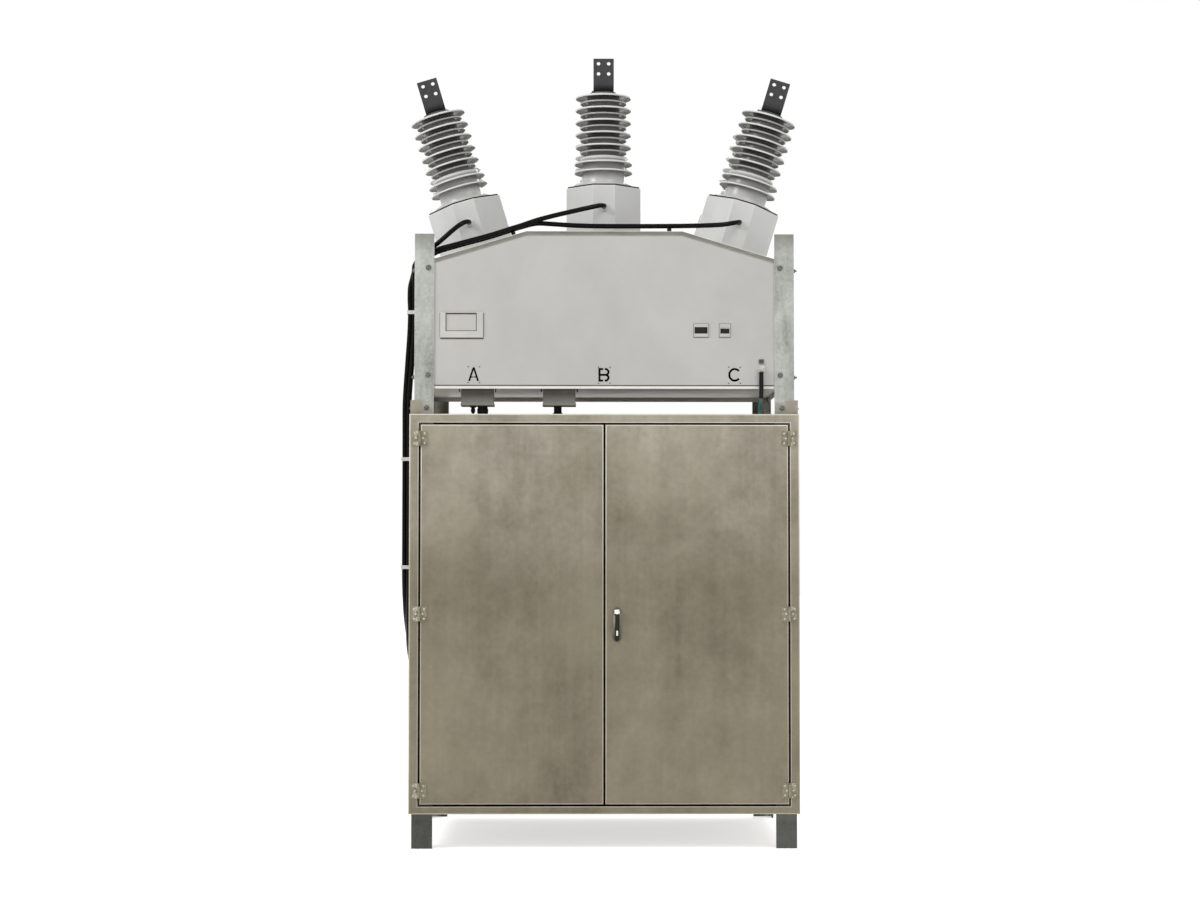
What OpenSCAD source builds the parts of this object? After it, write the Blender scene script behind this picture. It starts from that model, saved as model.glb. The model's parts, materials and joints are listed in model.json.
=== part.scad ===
// Outdoor vacuum circuit breaker of the dead tank kind: a sheet steel tank held
// between four galvanised angle posts, six bushings on current transformer
// housings, and a drive cabinet with hinged doors round the legs.
// Millimetres, +Z up, the doors face -Y.

/* [Frame] */
// Width over the outer faces of the lower leg angles
frame_w = 1460; // [1200:4:1760]
// Depth over the outer faces of the lower leg angles
frame_d = 1174; // [970:2:1410]
// Leg width of the lower angle section
leg_w = 80; // [66:1:96]
// Thickness of the lower angle section
leg_t = 6; // [4:0.5:8]
// Rise of the lower legs over the cabinet top
leg_rise = 44; // [30:1:60]
// Leg width of the upper post angle section
post_w = 75; // [60:1:90]
// Thickness of the upper post angle section
post_t = 5; // [4:0.5:8]
// Length over which a post overlaps its lower leg
post_lap = 210; // [120:5:300]
// Drop of the post tops under the flat roof top
post_drop = 11; // [0:1:80]

/* [Cabinet] */
// Height of the cabinet bottom above the floor
cab_z0 = 132; // [60:2:200]
// Height of the cabinet
cab_h = 1512; // [1260:4:1816]
// Depth of the folded cabinet walls, from the legs out to their skin
wall_fold = 10; // [7:1:14]
// Width of the inward flanges of the cabinet walls
wall_flange = 30; // [15:1:60]
// Thickness of the cabinet sheet
sheet_t = 2.5; // [1.5:0.5:4]
// Outer radius of the folds round the doors
fold_r = 5; // [3:0.5:6]
// Visible width of the front frame members
rail_w = 36; // [30:1:60]
// Depth of the front frame, from its face back to the legs
rail_d = 30; // [24:1:45]
// Width of the folded lips behind the front frame opening
rail_lip = 14; // [8:1:20]
// Width of the corner lugs that bolt the front frame to the legs
lug_w = 43; // [30:1:60]
// Rise of the corner lugs over the cabinet top
lug_rise = 54; // [40:1:70]

/* [Doors] */
// Gap round the doors and between them
door_gap = 7; // [5:0.5:10]
// Depth of the folded door pans
door_d = 22; // [16:1:24]
// Width of the inward flange of a door pan
door_flange = 18; // [10:1:30]
// Height of each hinge
hinge_h = 56; // [40:1:80]
// Width of one hinge leaf
hinge_leaf = 28; // [20:1:34]
// Thickness of a hinge leaf
hinge_t = 3; // [2:0.5:4]
// Outside radius of the hinge knuckles
knuckle_r = 5.5; // [4.5:0.1:6.6]
// Radius of the hinge pins
pin_r = 3; // [2:0.25:3.5]
// Distance from door end to the middle of the end hinges
hinge_inset = 52; // [40:1:120]
// Distance of the handle spindle from the seam edge of the door
handle_x = 44; // [35:1:90]
// Height of the handle spindle above the floor
handle_z = 893; // [700:1:1100]
// Length of the handle lever, from its spindle to the middle of its round tip
lever_len = 100; // [70:1:140]
// Width of the handle lever at its tip
lever_w = 18; // [12:1:22]
// Width of the handle plate
plate_w = 32; // [30:1:44]

/* [Tank] */
// Height of the lower edge of the tank front over the cabinet top
tank_lift = 104; // [60:2:200]
// Height of the tank, from that edge to its flat roof top
tank_h = 598; // [500:2:720]
// Width of the flat middle of the roof
roof_flat = 596; // [480:2:700]
// Slope of the roof sides, in degrees
roof_slope = 16.7; // [8:0.1:20]
// Thickness of the tank plate
tank_t = 4; // [3:0.5:6]
// Depth of the roof edge lip
roof_lip = 11; // [6:1:20]
// Height of the tank floor over the lower edge of the tank front
floor_rise = 34; // [24:1:50]
// Height of the lower edge of the tank rear over that of the front
rear_rise = 16; // [0:1:20]
// Width of the plate holder on the tank front
holder_w = 164; // [140:1:220]
// Height of the plate holder
holder_h = 98; // [80:1:140]
// Width of the connection boxes under the tank
box_w = 124; // [100:1:160]
// Depth of the connection boxes
box_d = 90; // [60:1:140]
// Height of the connection boxes
box_h = 103; // [70:1:130]

/* [Poles] */
// Distance from the middle of the front pole row to that of the rear row
row_gap = 560; // [480:5:640]
// Distance of the outer poles from the middle one, at the roof
pole_x = 491; // [470:1:500]
// Width of a transformer housing over its flats
housing_w = 290; // [240:2:350]
// Width of the front, back and side faces of a housing
housing_face = 87; // [60:1:130]
// Height of a transformer housing
housing_h = 202; // [160:1:240]
// Height of the cable gland on a housing
gland_z = 114; // [70:1:120]
// Height of the belly ring above the insulator flange
belly_z = 122; // [116:1:160]
// Radius of the insulator core
core_r = 75; // [60:1:85]
// Radius of the large sheds
shed_r = 111; // [100:1:125]
// Radius of the small sheds
small_shed_r = 92; // [86:1:99]
// Distance from one large shed to the next
shed_pitch = 49; // [40:0.2:60]
// Number of large sheds on the upper part
shed_count = 5; // [3:1:7]
// Width of a terminal bar
terminal_w = 80; // [60:1:100]
// Thickness of a terminal bar
terminal_t = 8; // [6:1:12]
// Height of the terminal top over the insulator cap
terminal_h = 126; // [115:1:180]
// Distance between the holes of a terminal
hole_pitch = 40; // [30:1:44]
// Radius of the holes of a terminal
hole_r = 7; // [5:0.5:9]

/* [Cables] */
// Diameter of the transformer cables
cable_d = 18; // [14:1:19]
// Diameter of the earth wire
wire_d = 15; // [8:1:16]
// Width of the hood that the cables run into
entry_d = 110; // [90:1:160]
// Height of that hood
entry_h = 100; // [90:1:160]
// Depth of that hood, out from the cabinet side
entry_x = 34; // [30:1:50]

/* [Hidden] */
$fn = 48;

// The frame's own middle stands a little off the origin, so that the origin is
// under the middle of the whole object, cables and handle included.
frame_off = [9, 25, 0];

// Half sizes of the leg frame
leg_x = frame_w / 2;
leg_y = frame_d / 2;
post_x = leg_x - leg_t;
post_y = leg_y - leg_t;
post_in = post_x - post_w;
cab_top = cab_z0 + cab_h;
leg_h = cab_top + leg_rise;
post_z0 = leg_h - post_lap;
tank_z0 = cab_top + tank_lift;
roof_z = tank_z0 + tank_h;
post_top = roof_z - post_drop;

// Cabinet faces
cab_x = leg_x + wall_fold;
cab_front = leg_y + rail_d;
cab_rear = leg_y + wall_fold;
lug_front = leg_y + sheet_t;
leg_play = 3;
lug_hold = 60;

// Door opening and doors
open_x = cab_x - rail_w;
open_z0 = cab_z0 + rail_w - 6;
open_z1 = cab_top - rail_w + 2;
door_x1 = open_x - door_gap;
door_x0 = door_gap / 2;
door_z0 = open_z0 + door_gap;
door_z1 = open_z1 - door_gap;
door_w = door_x1 - door_x0;
door_h = door_z1 - door_z0;
spindle_x = door_x0 + handle_x;

// Handle: plate and collar on the door skin, lever in front of them
spindle_r = 9;
spindle_play = 0.5;
plate_t = 3;
plate_rise = 18;
plate_drop = 114;
collar_r = 15;
collar_h = 12;
lever_play = 0.5;
boss_r = 14;
boss_h = 17.5;
lever_lift = 18;
lever_t = 10;
cam_t = 4;
cam_w = 20;
cam_len = 58;

// Hinges: the pin stands on the middle of the door gap, just proud of the faces
hinge_x = open_x - door_gap / 2;
knuckle_lift = 0.5;
hinge_y = cab_front + knuckle_r + knuckle_lift;
hinge_mid = (door_z0 + door_z1) / 2;
hinge_zs = [door_z1 - hinge_inset, hinge_mid, door_z0 + hinge_inset];
knuckle_h = hinge_h / 3;
knuckle_play = 0.5;
knuckle_room = 1.2;
leaf_gap = 1.5;
pin_play = 0.2;
pin_short = 1;

// Tank
tank_x = post_x - post_t;
tank_y = post_y - post_t;
tank_top = roof_z - tank_t;
roof_half = roof_flat / 2;
roof_drop = tan(roof_slope);
floor_z = tank_z0 + floor_rise;
lip_x = post_in - 4;

// Plate holder, its bare window and the indicator windows on the tank front
holder_t = 5;
holder_x = -post_in + 22 + holder_w / 2;
holder_z = tank_z0 + 238;
holder_left = 21;
holder_right = 24;
holder_foot = 25;
holder_head = 3;
pane_t = 4;
pane_wall = 1.5;
pane_rim = 3;
pane_z = tank_z0 + 218;
panes = [[post_in - 280, 56, 50], [post_in - 189, 41, 50]];

// Connection boxes, their fixing ears, lids and glands
box_xs = [-post_in + 164, -post_in + 477];
box_back = 24;
box_z0 = floor_z - box_h;
ear_w = 14;
ear_t = 3;
lid_h = 10;
lid_rim = 2;
gland_room = max(box_z0 - cab_top, 10);
small_gland_x = box_xs[0] - 18;
small_gland_r = 9;
small_gland_h = gland_room - 2;
large_gland_x = box_xs[0] + 19;
large_gland_r = 21.5;
large_gland_h = gland_room - 2;
sleeve_x = box_xs[1] - 6;
sleeve_r = 15;
sleeve_foot_r = 21;
sleeve_plate_l = 48;
sleeve_plate_t = 2;
gland_y = -tank_y + 69;
cable_gland_r = 17;

// Earth point on the tank front
earth_x = post_in - 50;
pad_w = 19;
pad_h = 16;
pad_t = 5;
pad_z = tank_z0 + 91;
stud_z = tank_z0 + 70;
stud_r = 8;
stud_len = 24;
washer_r = 14.5;
washer_t = 6;
tag_w = 16;
tag_t = 12;
tag_top = stud_z - 12;
tag_foot = stud_z - 78;

// Poles
gasket_h = 5;
flange_h = 10;
insulator_z = housing_h + gasket_h;
cap_r = 52;
cap_h = 8;
row_y = row_gap / 2;
small_drop = 21;
shed_root = 12;
base_swell = 9;
belly_swell = 15;
head_h = 4;
belly_lift = 11;
top_shed_z = belly_z - belly_lift + shed_count * shed_pitch;
insulator_h = top_shed_z + shed_root + head_h;
lower_sheds = [
    [belly_z - 23, shed_r + 4], [belly_z - 58, shed_r + 4],
    [belly_z - 83, small_shed_r + base_swell]
];
bend_r = 26;
foot_l = 92;

function roof_at(x) = roof_z - max(abs(x) - roof_half, 0) * roof_drop;

// Cables: hand chosen points from each housing gland to the entry on the wall,
// measured from the middle of the leg frame
a_route = [
    [-524, -439, 2397], [-524, -462, 2397], [-540, -484, 2391],
    [-566, -498, 2373], [-598, -504, 2345], [-634, -500, 2314],
    [-662, -490, 2294], [-684, -484, 2278], [-702, -480, 2259],
    [-718.5, -477, 2241], [-730.2, -477, 2219.5], [-733.5, -477, 2198],
    [-740, -479, 2172], [-747, -481, 2140], [-748.5, -482, 2095],
    [-746.5, -482, 2041], [-749, -482, 1960], [-757, -482, 1840],
    [-765.5, -482, 1700], [-766, -482, 1580], [-765.8, -482, 1476],
    [-765.8, -482, 1330], [-765.8, -482, 1180], [-765.8, -482, 1062],
    [-765, -470, 970], [-763, -422, 875], [-759, -330, 795],
    [-757, -205, 731], [-757, -60, 692], [-757, 60, 675], [-757, 160, 675]
];
b_route = [
    [0, -439, 2460], [0, -466, 2460], [-20, -492, 2456],
    [-60, -512, 2445], [-130, -528, 2427], [-200, -538, 2409],
    [-262, -544, 2391], [-320, -545, 2371], [-362, -545, 2358],
    [-440, -545, 2333], [-560, -540, 2301], [-640, -525, 2281],
    [-680, -508, 2263], [-702, -498, 2250], [-718.5, -495.5, 2240],
    [-730.2, -495.5, 2219.5], [-731, -495.5, 2192], [-731, -493.5, 2150],
    [-731, -492, 2095], [-730, -492, 2041], [-732, -492, 1960],
    [-740, -492, 1840], [-749.3, -492, 1700], [-749.3, -492, 1476],
    [-749.3, -492, 1270], [-749.3, -492, 1062], [-750, -484, 960],
    [-753, -440, 850], [-757, -345, 760], [-757, -215, 697],
    [-757, -60, 662], [-757, 60, 650], [-757, 160, 650]
];
c_route = [
    [524, -439, 2397], [524, -466, 2397], [500, -490, 2390],
    [455, -510, 2381], [380, -520, 2376], [250, -524, 2373],
    [0, -524, 2372], [-120, -524, 2375], [-200, -524, 2380],
    [-262, -523, 2382], [-320, -522, 2368], [-362, -521, 2355],
    [-440, -520, 2330], [-560, -512, 2298], [-640, -494, 2276],
    [-680, -470, 2256], [-702, -460, 2247], [-718.5, -458.3, 2240],
    [-730.2, -458.3, 2219.5], [-731, -459, 2192], [-731, -466, 2150],
    [-731, -472, 2095], [-730, -472, 2041], [-732, -472, 1960],
    [-740, -472, 1840], [-749.3, -472, 1700], [-749.3, -472, 1476],
    [-749.3, -472, 1270], [-749.3, -472, 1062], [-750, -455, 985],
    [-753, -400, 905], [-757, -308, 834], [-757, -190, 768],
    [-757, -60, 722], [-757, 60, 700], [-757, 160, 700]
];
wire_route = [
    [598, -586, 1740], [598, -586, 1722], [597, -584, 1706],
    [596, -576, 1688], [595, -563, 1668], [595, -560, 1656], [595, -560, 1644]
];

// Straps: height, the wall behind them and how far the bundle stands out of it
straps = [
    [tank_z0 + 293, tank_x, 37.5], [cab_top - 168, cab_x, 35.5],
    [cab_top - 582, cab_x, 35.5]
];
bundle_y = -tank_y + 94;
bundle_w = 42;
strap_h = 14;
strap_t = 1.5;
roof_pads = [[250, 17.7], [-346, 18]];
pad_y = -tank_y + 40;
pad_d = 24;
roof_pad_w = 16;

// Hood on the cabinet side
entry_y = 160;
entry_z = 675;

steel_grey = [0.73, 0.72, 0.70];
zinc = [0.72, 0.74, 0.72];
raw_steel = [0.60, 0.56, 0.49];
housing_grey = [0.82, 0.82, 0.80];
silicone_grey = [0.66, 0.66, 0.64];
dark_metal = [0.28, 0.28, 0.30];
black = [0.06, 0.06, 0.05];
chrome = [0.85, 0.85, 0.86];
green = [0.20, 0.42, 0.36];

// Everything is drawn from the middle of the leg frame
module at_frame() {
    translate(frame_off) children();
}

// Mirrors its children to the side given by sx and sy, each 1 or -1
module to_corner(sx, sy) {
    flip_x = sx < 0 ? 1 : 0;
    flip_y = sy < 0 ? 1 : 0;
    mirror([flip_x, 0, 0]) mirror([0, flip_y, 0]) children();
}

// An angle section with its outer corner at the origin, legs towards -X and -Y
module angle_bar(w, t, h) {
    linear_extrude(h) difference() {
        translate([-w, -w]) square(w);
        translate([-w - t, -w - t]) square(w);
    }
}

// Lower leg, from the floor to just over the cabinet
module lower_leg(sx, sy) {
    at_frame() to_corner(sx, sy) translate([leg_x, leg_y, 0])
        angle_bar(leg_w, leg_t, leg_h);
}

// Upper post, nested in its leg and carrying the tank
module upper_post(sx, sy) {
    at_frame() to_corner(sx, sy) translate([post_x, post_y, post_z0])
        angle_bar(post_w, post_t, post_top - post_z0);
}

module leg_front_left() { color(zinc) lower_leg(-1, -1); }
module leg_front_right() { color(zinc) lower_leg(1, -1); }
module leg_rear_left() { color(zinc) lower_leg(-1, 1); }
module leg_rear_right() { color(zinc) lower_leg(1, 1); }
module post_front_left() { color(zinc) upper_post(-1, -1); }
module post_front_right() { color(zinc) upper_post(1, -1); }
module post_rear_left() { color(zinc) upper_post(-1, 1); }
module post_rear_right() { color(zinc) upper_post(1, 1); }

// A block given by its low and high corners
module block(low, high) {
    translate(low) cube(high - low);
}

// The rectangular outline of the door opening, grown by extra
module opening_block(extra, y0, y1) {
    block([-open_x - extra, y0, open_z0 - extra], [open_x + extra, y1, open_z1 + extra]);
}

// Folded front frame: face, outer returns, lips round the opening, corner lugs
module front_frame() {
    color(raw_steel) at_frame() {
        difference() {
            block([-cab_x, -cab_front, cab_z0], [cab_x, -leg_y, cab_top]);
            block([-cab_x + sheet_t, -cab_front + sheet_t, cab_z0 + sheet_t],
                  [cab_x - sheet_t, -leg_y + 1, cab_top - sheet_t]);
            opening_block(0, -cab_front - 1, -leg_y);
        }
        difference() {
            opening_block(sheet_t, -cab_front, -cab_front + rail_lip);
            opening_block(0, -cab_front - 1, -leg_y);
        }
        for (sx = [-1, 1]) {
            x0 = sx < 0 ? -cab_x + sheet_t : cab_x - sheet_t - lug_w;
            block([x0, -lug_front, cab_top - lug_hold], [x0 + lug_w, -leg_y, cab_top + lug_rise]);
            block([x0, -lug_front, cab_z0], [x0 + lug_w, -leg_y, cab_z0 + lug_hold]);
        }
    }
}

// Rectangle with its corner at the origin and all four corners rounded
module rounded_rect(w, h, r) {
    translate([r, 0]) square([w - 2 * r, h]);
    translate([0, r]) square([w, h - 2 * r]);
    for (x = [r, w - r]) for (y = [r, h - r]) translate([x, y]) circle(r = r);
}

// Flat block with rounded edges, mitred at its corners
module rounded_block(w, h, d, r) {
    intersection() {
        translate([0, h, 0]) rotate([90, 0, 0]) linear_extrude(h) rounded_rect(w, d, r);
        rotate([90, 0, 90]) linear_extrude(w) rounded_rect(h, d, r);
    }
}

// Folded sheet pan lying in X and Y: skin below, folds d high, inward flanges
module folded_pan(w, h, d, flange) {
    difference() {
        cube([w, h, d]);
        translate([sheet_t, sheet_t, sheet_t])
            cube([w - 2 * sheet_t, h - 2 * sheet_t, d - 2 * sheet_t]);
        translate([flange, flange, sheet_t]) cube([w - 2 * flange, h - 2 * flange, d]);
    }
}

// The same pan with its folds rounded, as a door shows them
module rounded_pan(w, h, d, flange) {
    difference() {
        rounded_block(w, h, d, fold_r);
        translate([sheet_t, sheet_t, sheet_t])
            rounded_block(w - 2 * sheet_t, h - 2 * sheet_t, d - 2 * sheet_t, fold_r - sheet_t);
        translate([flange, flange, sheet_t]) cube([w - 2 * flange, h - 2 * flange, d]);
    }
}

// Side wall, its flanges lying on the legs
module side_wall(sx) {
    at_frame() to_corner(sx, 1) translate([cab_x, -leg_y, cab_z0])
        mirror([1, 0, 0]) rotate([90, 0, 90])
            folded_pan(leg_y + cab_rear, cab_h, wall_fold, wall_flange);
}

module left_wall() { color(raw_steel) side_wall(-1); }
module right_wall() { color(raw_steel) side_wall(1); }

// Back wall, between the side walls
module back_wall() {
    color(raw_steel) at_frame() translate([-leg_x, cab_rear, cab_z0]) rotate([90, 0, 0])
        folded_pan(frame_w, cab_h, wall_fold, wall_flange);
}

// Cabinet roof and floor sheets are notched round the four legs
module notched_sheet(z) {
    at_frame() difference() {
        block([-leg_x, -leg_y, z], [leg_x, leg_y, z + sheet_t]);
        for (sx = [-1, 1]) for (sy = [-1, 1])
            to_corner(sx, sy)
                block([leg_x - leg_w - leg_play, leg_y - leg_w - leg_play, z - 1],
                      [leg_x + 1, leg_y + 1, z + sheet_t + 1]);
    }
}

module cabinet_roof() { color(raw_steel) notched_sheet(cab_top - sheet_t); }
module cabinet_floor() { color(raw_steel) notched_sheet(cab_z0); }

// Door pan from x0 towards +X, its skin flush with the front frame
module door_pan(x0) {
    translate([x0, -cab_front, door_z0]) mirror([0, 1, 0]) rotate([90, 0, 0])
        rounded_pan(door_w, door_h, door_d, door_flange);
}

module door_left() {
    color(raw_steel) at_frame() door_pan(-door_x1);
}

module door_right() {
    color(raw_steel) at_frame() difference() {
        door_pan(door_x0);
        translate([spindle_x, -cab_front, handle_z]) rotate([90, 0, 0])
            cylinder(r = spindle_r + spindle_play, h = 3 * door_d, center = true);
    }
}

// One leaf of a butt hinge: side is 1 for the leaf towards +X
module hinge_leaf_plate(side) {
    x0 = side > 0 ? leaf_gap : -hinge_leaf - leaf_gap;
    block([x0, hinge_y - cab_front - hinge_t, -hinge_h / 2],
          [x0 + hinge_leaf, hinge_y - cab_front, hinge_h / 2]);
    xa = side > 0 ? 0 : -knuckle_r;
    block([xa, 0, -hinge_h / 2], [xa + knuckle_r, hinge_y - cab_front, hinge_h / 2]);
}

// A knuckle of height h whose lower end is at z
module knuckle(z, h) {
    translate([0, 0, z]) cylinder(r = knuckle_r, h = h);
}

// The fixed half of a hinge: leaf, two outer knuckles and the pin
module fixed_half(side) {
    difference() {
        union() {
            hinge_leaf_plate(side);
            knuckle(-hinge_h / 2, hinge_h);
        }
        translate([0, 0, -knuckle_h / 2]) cylinder(r = knuckle_r + knuckle_room, h = knuckle_h);
    }
    cylinder(r = pin_r, h = hinge_h - 2 * pin_short, center = true);
}

// The moving half of a hinge: leaf and the middle knuckle, bored for the pin
module moving_half(side) {
    h = knuckle_h - 2 * knuckle_play;
    difference() {
        union() {
            difference() {
                hinge_leaf_plate(side);
                for (s = [-1, 1])
                    translate([0, 0, s * (hinge_h + h) / 4 + s * 0.01])
                        cylinder(r = knuckle_r + knuckle_room, h = (hinge_h - h) / 2, center = true);
            }
            knuckle(-h / 2, h);
        }
        cylinder(r = pin_r + pin_play, h = hinge_h + 1, center = true);
    }
}

// All three hinges of one door, sx is -1 for the left one
module at_hinges(sx) {
    at_frame() for (z = hinge_zs) translate([sx * hinge_x, -hinge_y, z]) children();
}

module frame_hinge_leaves() {
    color(raw_steel) {
        at_hinges(-1) fixed_half(-1);
        at_hinges(1) fixed_half(1);
    }
}

module left_door_hinge_leaves() { color(raw_steel) at_hinges(-1) moving_half(1); }
module right_door_hinge_leaves() { color(raw_steel) at_hinges(1) moving_half(-1); }

// Bar with two round ends, drawn down from the origin
module round_bar(w, up, down) {
    translate([-w / 2, -down + w / 2]) square([w, up + down - w]);
    for (y = [up - w / 2, -down + w / 2]) translate([0, y]) circle(r = w / 2);
}

// Plate with a collar for the spindle
module handle_plate() {
    color(chrome) at_frame() translate([spindle_x, -cab_front, handle_z])
        rotate([90, 0, 0]) difference() {
            union() {
                linear_extrude(plate_t) round_bar(plate_w, plate_rise, plate_drop);
                cylinder(r = collar_r, h = collar_h);
            }
            translate([0, 0, -1]) cylinder(r = spindle_r + spindle_play, h = collar_h + 2);
        }
}

// Half profile of the domed boss that the lever hangs from
module boss_profile() {
    intersection() {
        translate([0, boss_h - boss_r]) circle(r = boss_r);
        square(boss_h);
    }
    square([boss_r, boss_h - boss_r]);
}

// Lever hanging from its spindle, with the cam inside the door
module handle_lever() {
    color(chrome) at_frame() translate([spindle_x, -cab_front, handle_z])
        rotate([90, 0, 0]) {
            translate([0, 0, -door_d - cam_t])
                cylinder(r = spindle_r, h = door_d + cam_t + collar_h + lever_play);
            translate([0, 0, collar_h + lever_play]) rotate_extrude() boss_profile();
            translate([0, 0, lever_lift]) linear_extrude(lever_t) {
                translate([0, -lever_len]) circle(r = lever_w / 2);
                polygon([[-boss_r / 2, 0], [-lever_w / 2, -lever_len],
                         [lever_w / 2, -lever_len], [boss_r / 2, 0]]);
            }
            translate([-cam_w / 2, -cam_len, -door_d - cam_t]) cube([cam_w, cam_len, cam_t]);
        }
}

// Outline of the tank in X and Z between its lower edge z0 and the roof line,
// which lies drop under the roof top
module tank_outline(z0, drop) {
    polygon([
        [-tank_x, z0], [tank_x, z0],
        [tank_x, roof_at(tank_x) - drop], [roof_half, roof_z - drop],
        [-roof_half, roof_z - drop], [-tank_x, roof_at(tank_x) - drop]
    ]);
}

// Stands a profile drawn in X and Z up, from y0 to y1
module stand_profile(y0, y1) {
    translate([0, y1, 0]) rotate([90, 0, 0]) linear_extrude(y1 - y0) children();
}

// Front, rear and side plates of the tank, welded at the corners
module tank_walls() {
    color(steel_grey) at_frame() {
        stand_profile(-tank_y, -tank_y + tank_t) tank_outline(tank_z0, tank_t);
        stand_profile(tank_y - tank_t, tank_y) tank_outline(tank_z0 + rear_rise, tank_t);
        stand_profile(-tank_y + tank_t, tank_y - tank_t) difference() {
            tank_outline(tank_z0 + rear_rise, tank_t);
            translate([-tank_x + tank_t, 0]) square([2 * (tank_x - tank_t), roof_z + 100]);
        }
    }
}

// Roof of three facets with lips over the front and rear plates
module tank_roof() {
    color(steel_grey) at_frame() {
        stand_profile(-tank_y, tank_y) difference() {
            tank_outline(tank_z0, 0);
            tank_outline(tank_z0 - 1, tank_t);
        }
        for (y = [-tank_y - tank_t, tank_y])
            stand_profile(y, y + tank_t) intersection() {
                difference() {
                    tank_outline(tank_z0, 0);
                    tank_outline(tank_z0 - 1, roof_lip);
                }
                translate([-lip_x, tank_z0]) square([2 * lip_x, roof_z]);
            }
    }
}

module tank_floor() {
    color(steel_grey) at_frame()
        block([-tank_x + tank_t, -tank_y + tank_t, floor_z],
              [tank_x - tank_t, tank_y - tank_t, floor_z + tank_t]);
}

// Puts its children on the roof at pole column col (-1, 0 or 1) of row sy
module at_pole(col, sy) {
    at_frame() translate([col * pole_x, sy * row_y, roof_at(pole_x * abs(col))])
        rotate([0, col * roof_slope, 0]) children();
}

// Eight sided outline with straight faces housing_face wide and w over the flats
module housing_outline(w) {
    f = housing_face / 2;
    h = w / 2;
    polygon([
        [-f, -h], [f, -h], [h, -f], [h, f], [f, h], [-f, h], [-h, f], [-h, -f]
    ]);
}

// Transformer housing: folded body and the gasket on its top
module ct_housing(col, sy) {
    at_pole(col, sy) {
        linear_extrude(housing_h) housing_outline(housing_w);
        translate([0, 0, housing_h]) linear_extrude(gasket_h) housing_outline(housing_w - 10);
    }
}

module ct_housing_a_front() { color(housing_grey) ct_housing(-1, -1); }
module ct_housing_b_front() { color(housing_grey) ct_housing(0, -1); }
module ct_housing_c_front() { color(housing_grey) ct_housing(1, -1); }
module ct_housing_a_rear() { color(housing_grey) ct_housing(-1, 1); }
module ct_housing_b_rear() { color(housing_grey) ct_housing(0, 1); }
module ct_housing_c_rear() { color(housing_grey) ct_housing(1, 1); }

// Half profile of one shed: sloping top, thin rim, drip edge and hollow underside
function shed(z, r, core) = [
    [core, z + shed_root], [r - 12, z + 5], [r - 2, z + 3], [r, z],
    [r - 3, z - 1.5], [r - 9, z + 1], [core + 8, z + 5], [core, z + 3]
];

// Heights and radii of all sheds, from the top down
upper_sheds = [for (i = [0 : shed_count - 1], small = [0, 1])
    [top_shed_z - i * shed_pitch - small * small_drop, small > 0 ? small_shed_r : shed_r]];

// Ribbed insulator revolved about its axis, with its flange and metal cap
module insulator(col, sy) {
    base_r = core_r + base_swell;
    at_pole(col, sy) translate([0, 0, insulator_z]) rotate_extrude($fn = 96) polygon(concat(
        [[0, insulator_h + cap_h], [cap_r, insulator_h + cap_h], [cap_r, insulator_h],
         [core_r, insulator_h]],
        [for (s = upper_sheds) each shed(s[0], s[1], core_r)],
        [[core_r, belly_z + 14], [core_r + belly_swell, belly_z + 4],
         [core_r + belly_swell, belly_z - 3], [base_r, belly_z - 9]],
        [for (s = lower_sheds) each shed(s[0], s[1], base_r)],
        [[base_r, flange_h], [base_r + 30, flange_h], [base_r + 30, 0], [0, 0]]
    ));
}

module insulator_a_front() { color(silicone_grey) insulator(-1, -1); }
module insulator_b_front() { color(silicone_grey) insulator(0, -1); }
module insulator_c_front() { color(silicone_grey) insulator(1, -1); }
module insulator_a_rear() { color(silicone_grey) insulator(-1, 1); }
module insulator_b_rear() { color(silicone_grey) insulator(0, 1); }
module insulator_c_rear() { color(silicone_grey) insulator(1, 1); }

// Bent bar profile in Y and Z: foot on the cap, round bend, upright plate
module terminal_profile() {
    y_in = -bend_r;
    translate([y_in, 0]) square([foot_l - bend_r, terminal_t]);
    translate([y_in, bend_r + terminal_t]) intersection() {
        difference() {
            circle(r = bend_r + terminal_t);
            circle(r = bend_r);
        }
        translate([-bend_r - terminal_t, -bend_r - terminal_t]) square(bend_r + terminal_t);
    }
    translate([y_in - bend_r - terminal_t, bend_r + terminal_t])
        square([terminal_t, terminal_h - bend_r - terminal_t]);
}

// Terminal on its insulator, with four holes for the line clamp
module terminal(col, sy) {
    hole_z = terminal_h - hole_pitch;
    at_pole(col, sy) translate([0, 0, insulator_z + insulator_h + cap_h])
        mirror([0, sy > 0 ? 1 : 0, 0]) difference() {
            rotate([90, 0, 90]) linear_extrude(terminal_w, center = true) terminal_profile();
            for (x = [-1, 1]) for (z = [-1, 1])
                translate([x * hole_pitch / 2, -2 * bend_r, hole_z + z * hole_pitch / 2])
                    rotate([90, 0, 0]) cylinder(r = hole_r, h = 5 * terminal_t, center = true);
        }
}

module terminals_front() {
    color(dark_metal) for (col = [-1, 0, 1]) terminal(col, -1);
}

module terminals_rear() {
    color(dark_metal) for (col = [-1, 0, 1]) terminal(col, 1);
}

// Empty plate holder on the tank front: raised rails round a bare window
module nameplate_holder() {
    color(steel_grey) at_frame() translate([holder_x, -tank_y, holder_z]) difference() {
        block([-holder_w / 2, -holder_t, -holder_h / 2], [holder_w / 2, 0, holder_h / 2]);
        block([-holder_w / 2 + holder_left, -holder_t - 1, -holder_h / 2 + holder_foot],
              [holder_w / 2 - holder_right, 1, holder_h / 2 - holder_head]);
    }
}

// One window on the tank front: bezel w wide and h high, with a sunk pane
module window(x, w, h) {
    translate([x, -tank_y, pane_z]) difference() {
        block([-w / 2, -pane_t, -h / 2], [w / 2, 0, h / 2]);
        block([-w / 2 + pane_rim, -pane_t - 1, -h / 4], [w / 2 - pane_rim, -pane_wall, h / 4]);
    }
}

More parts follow.
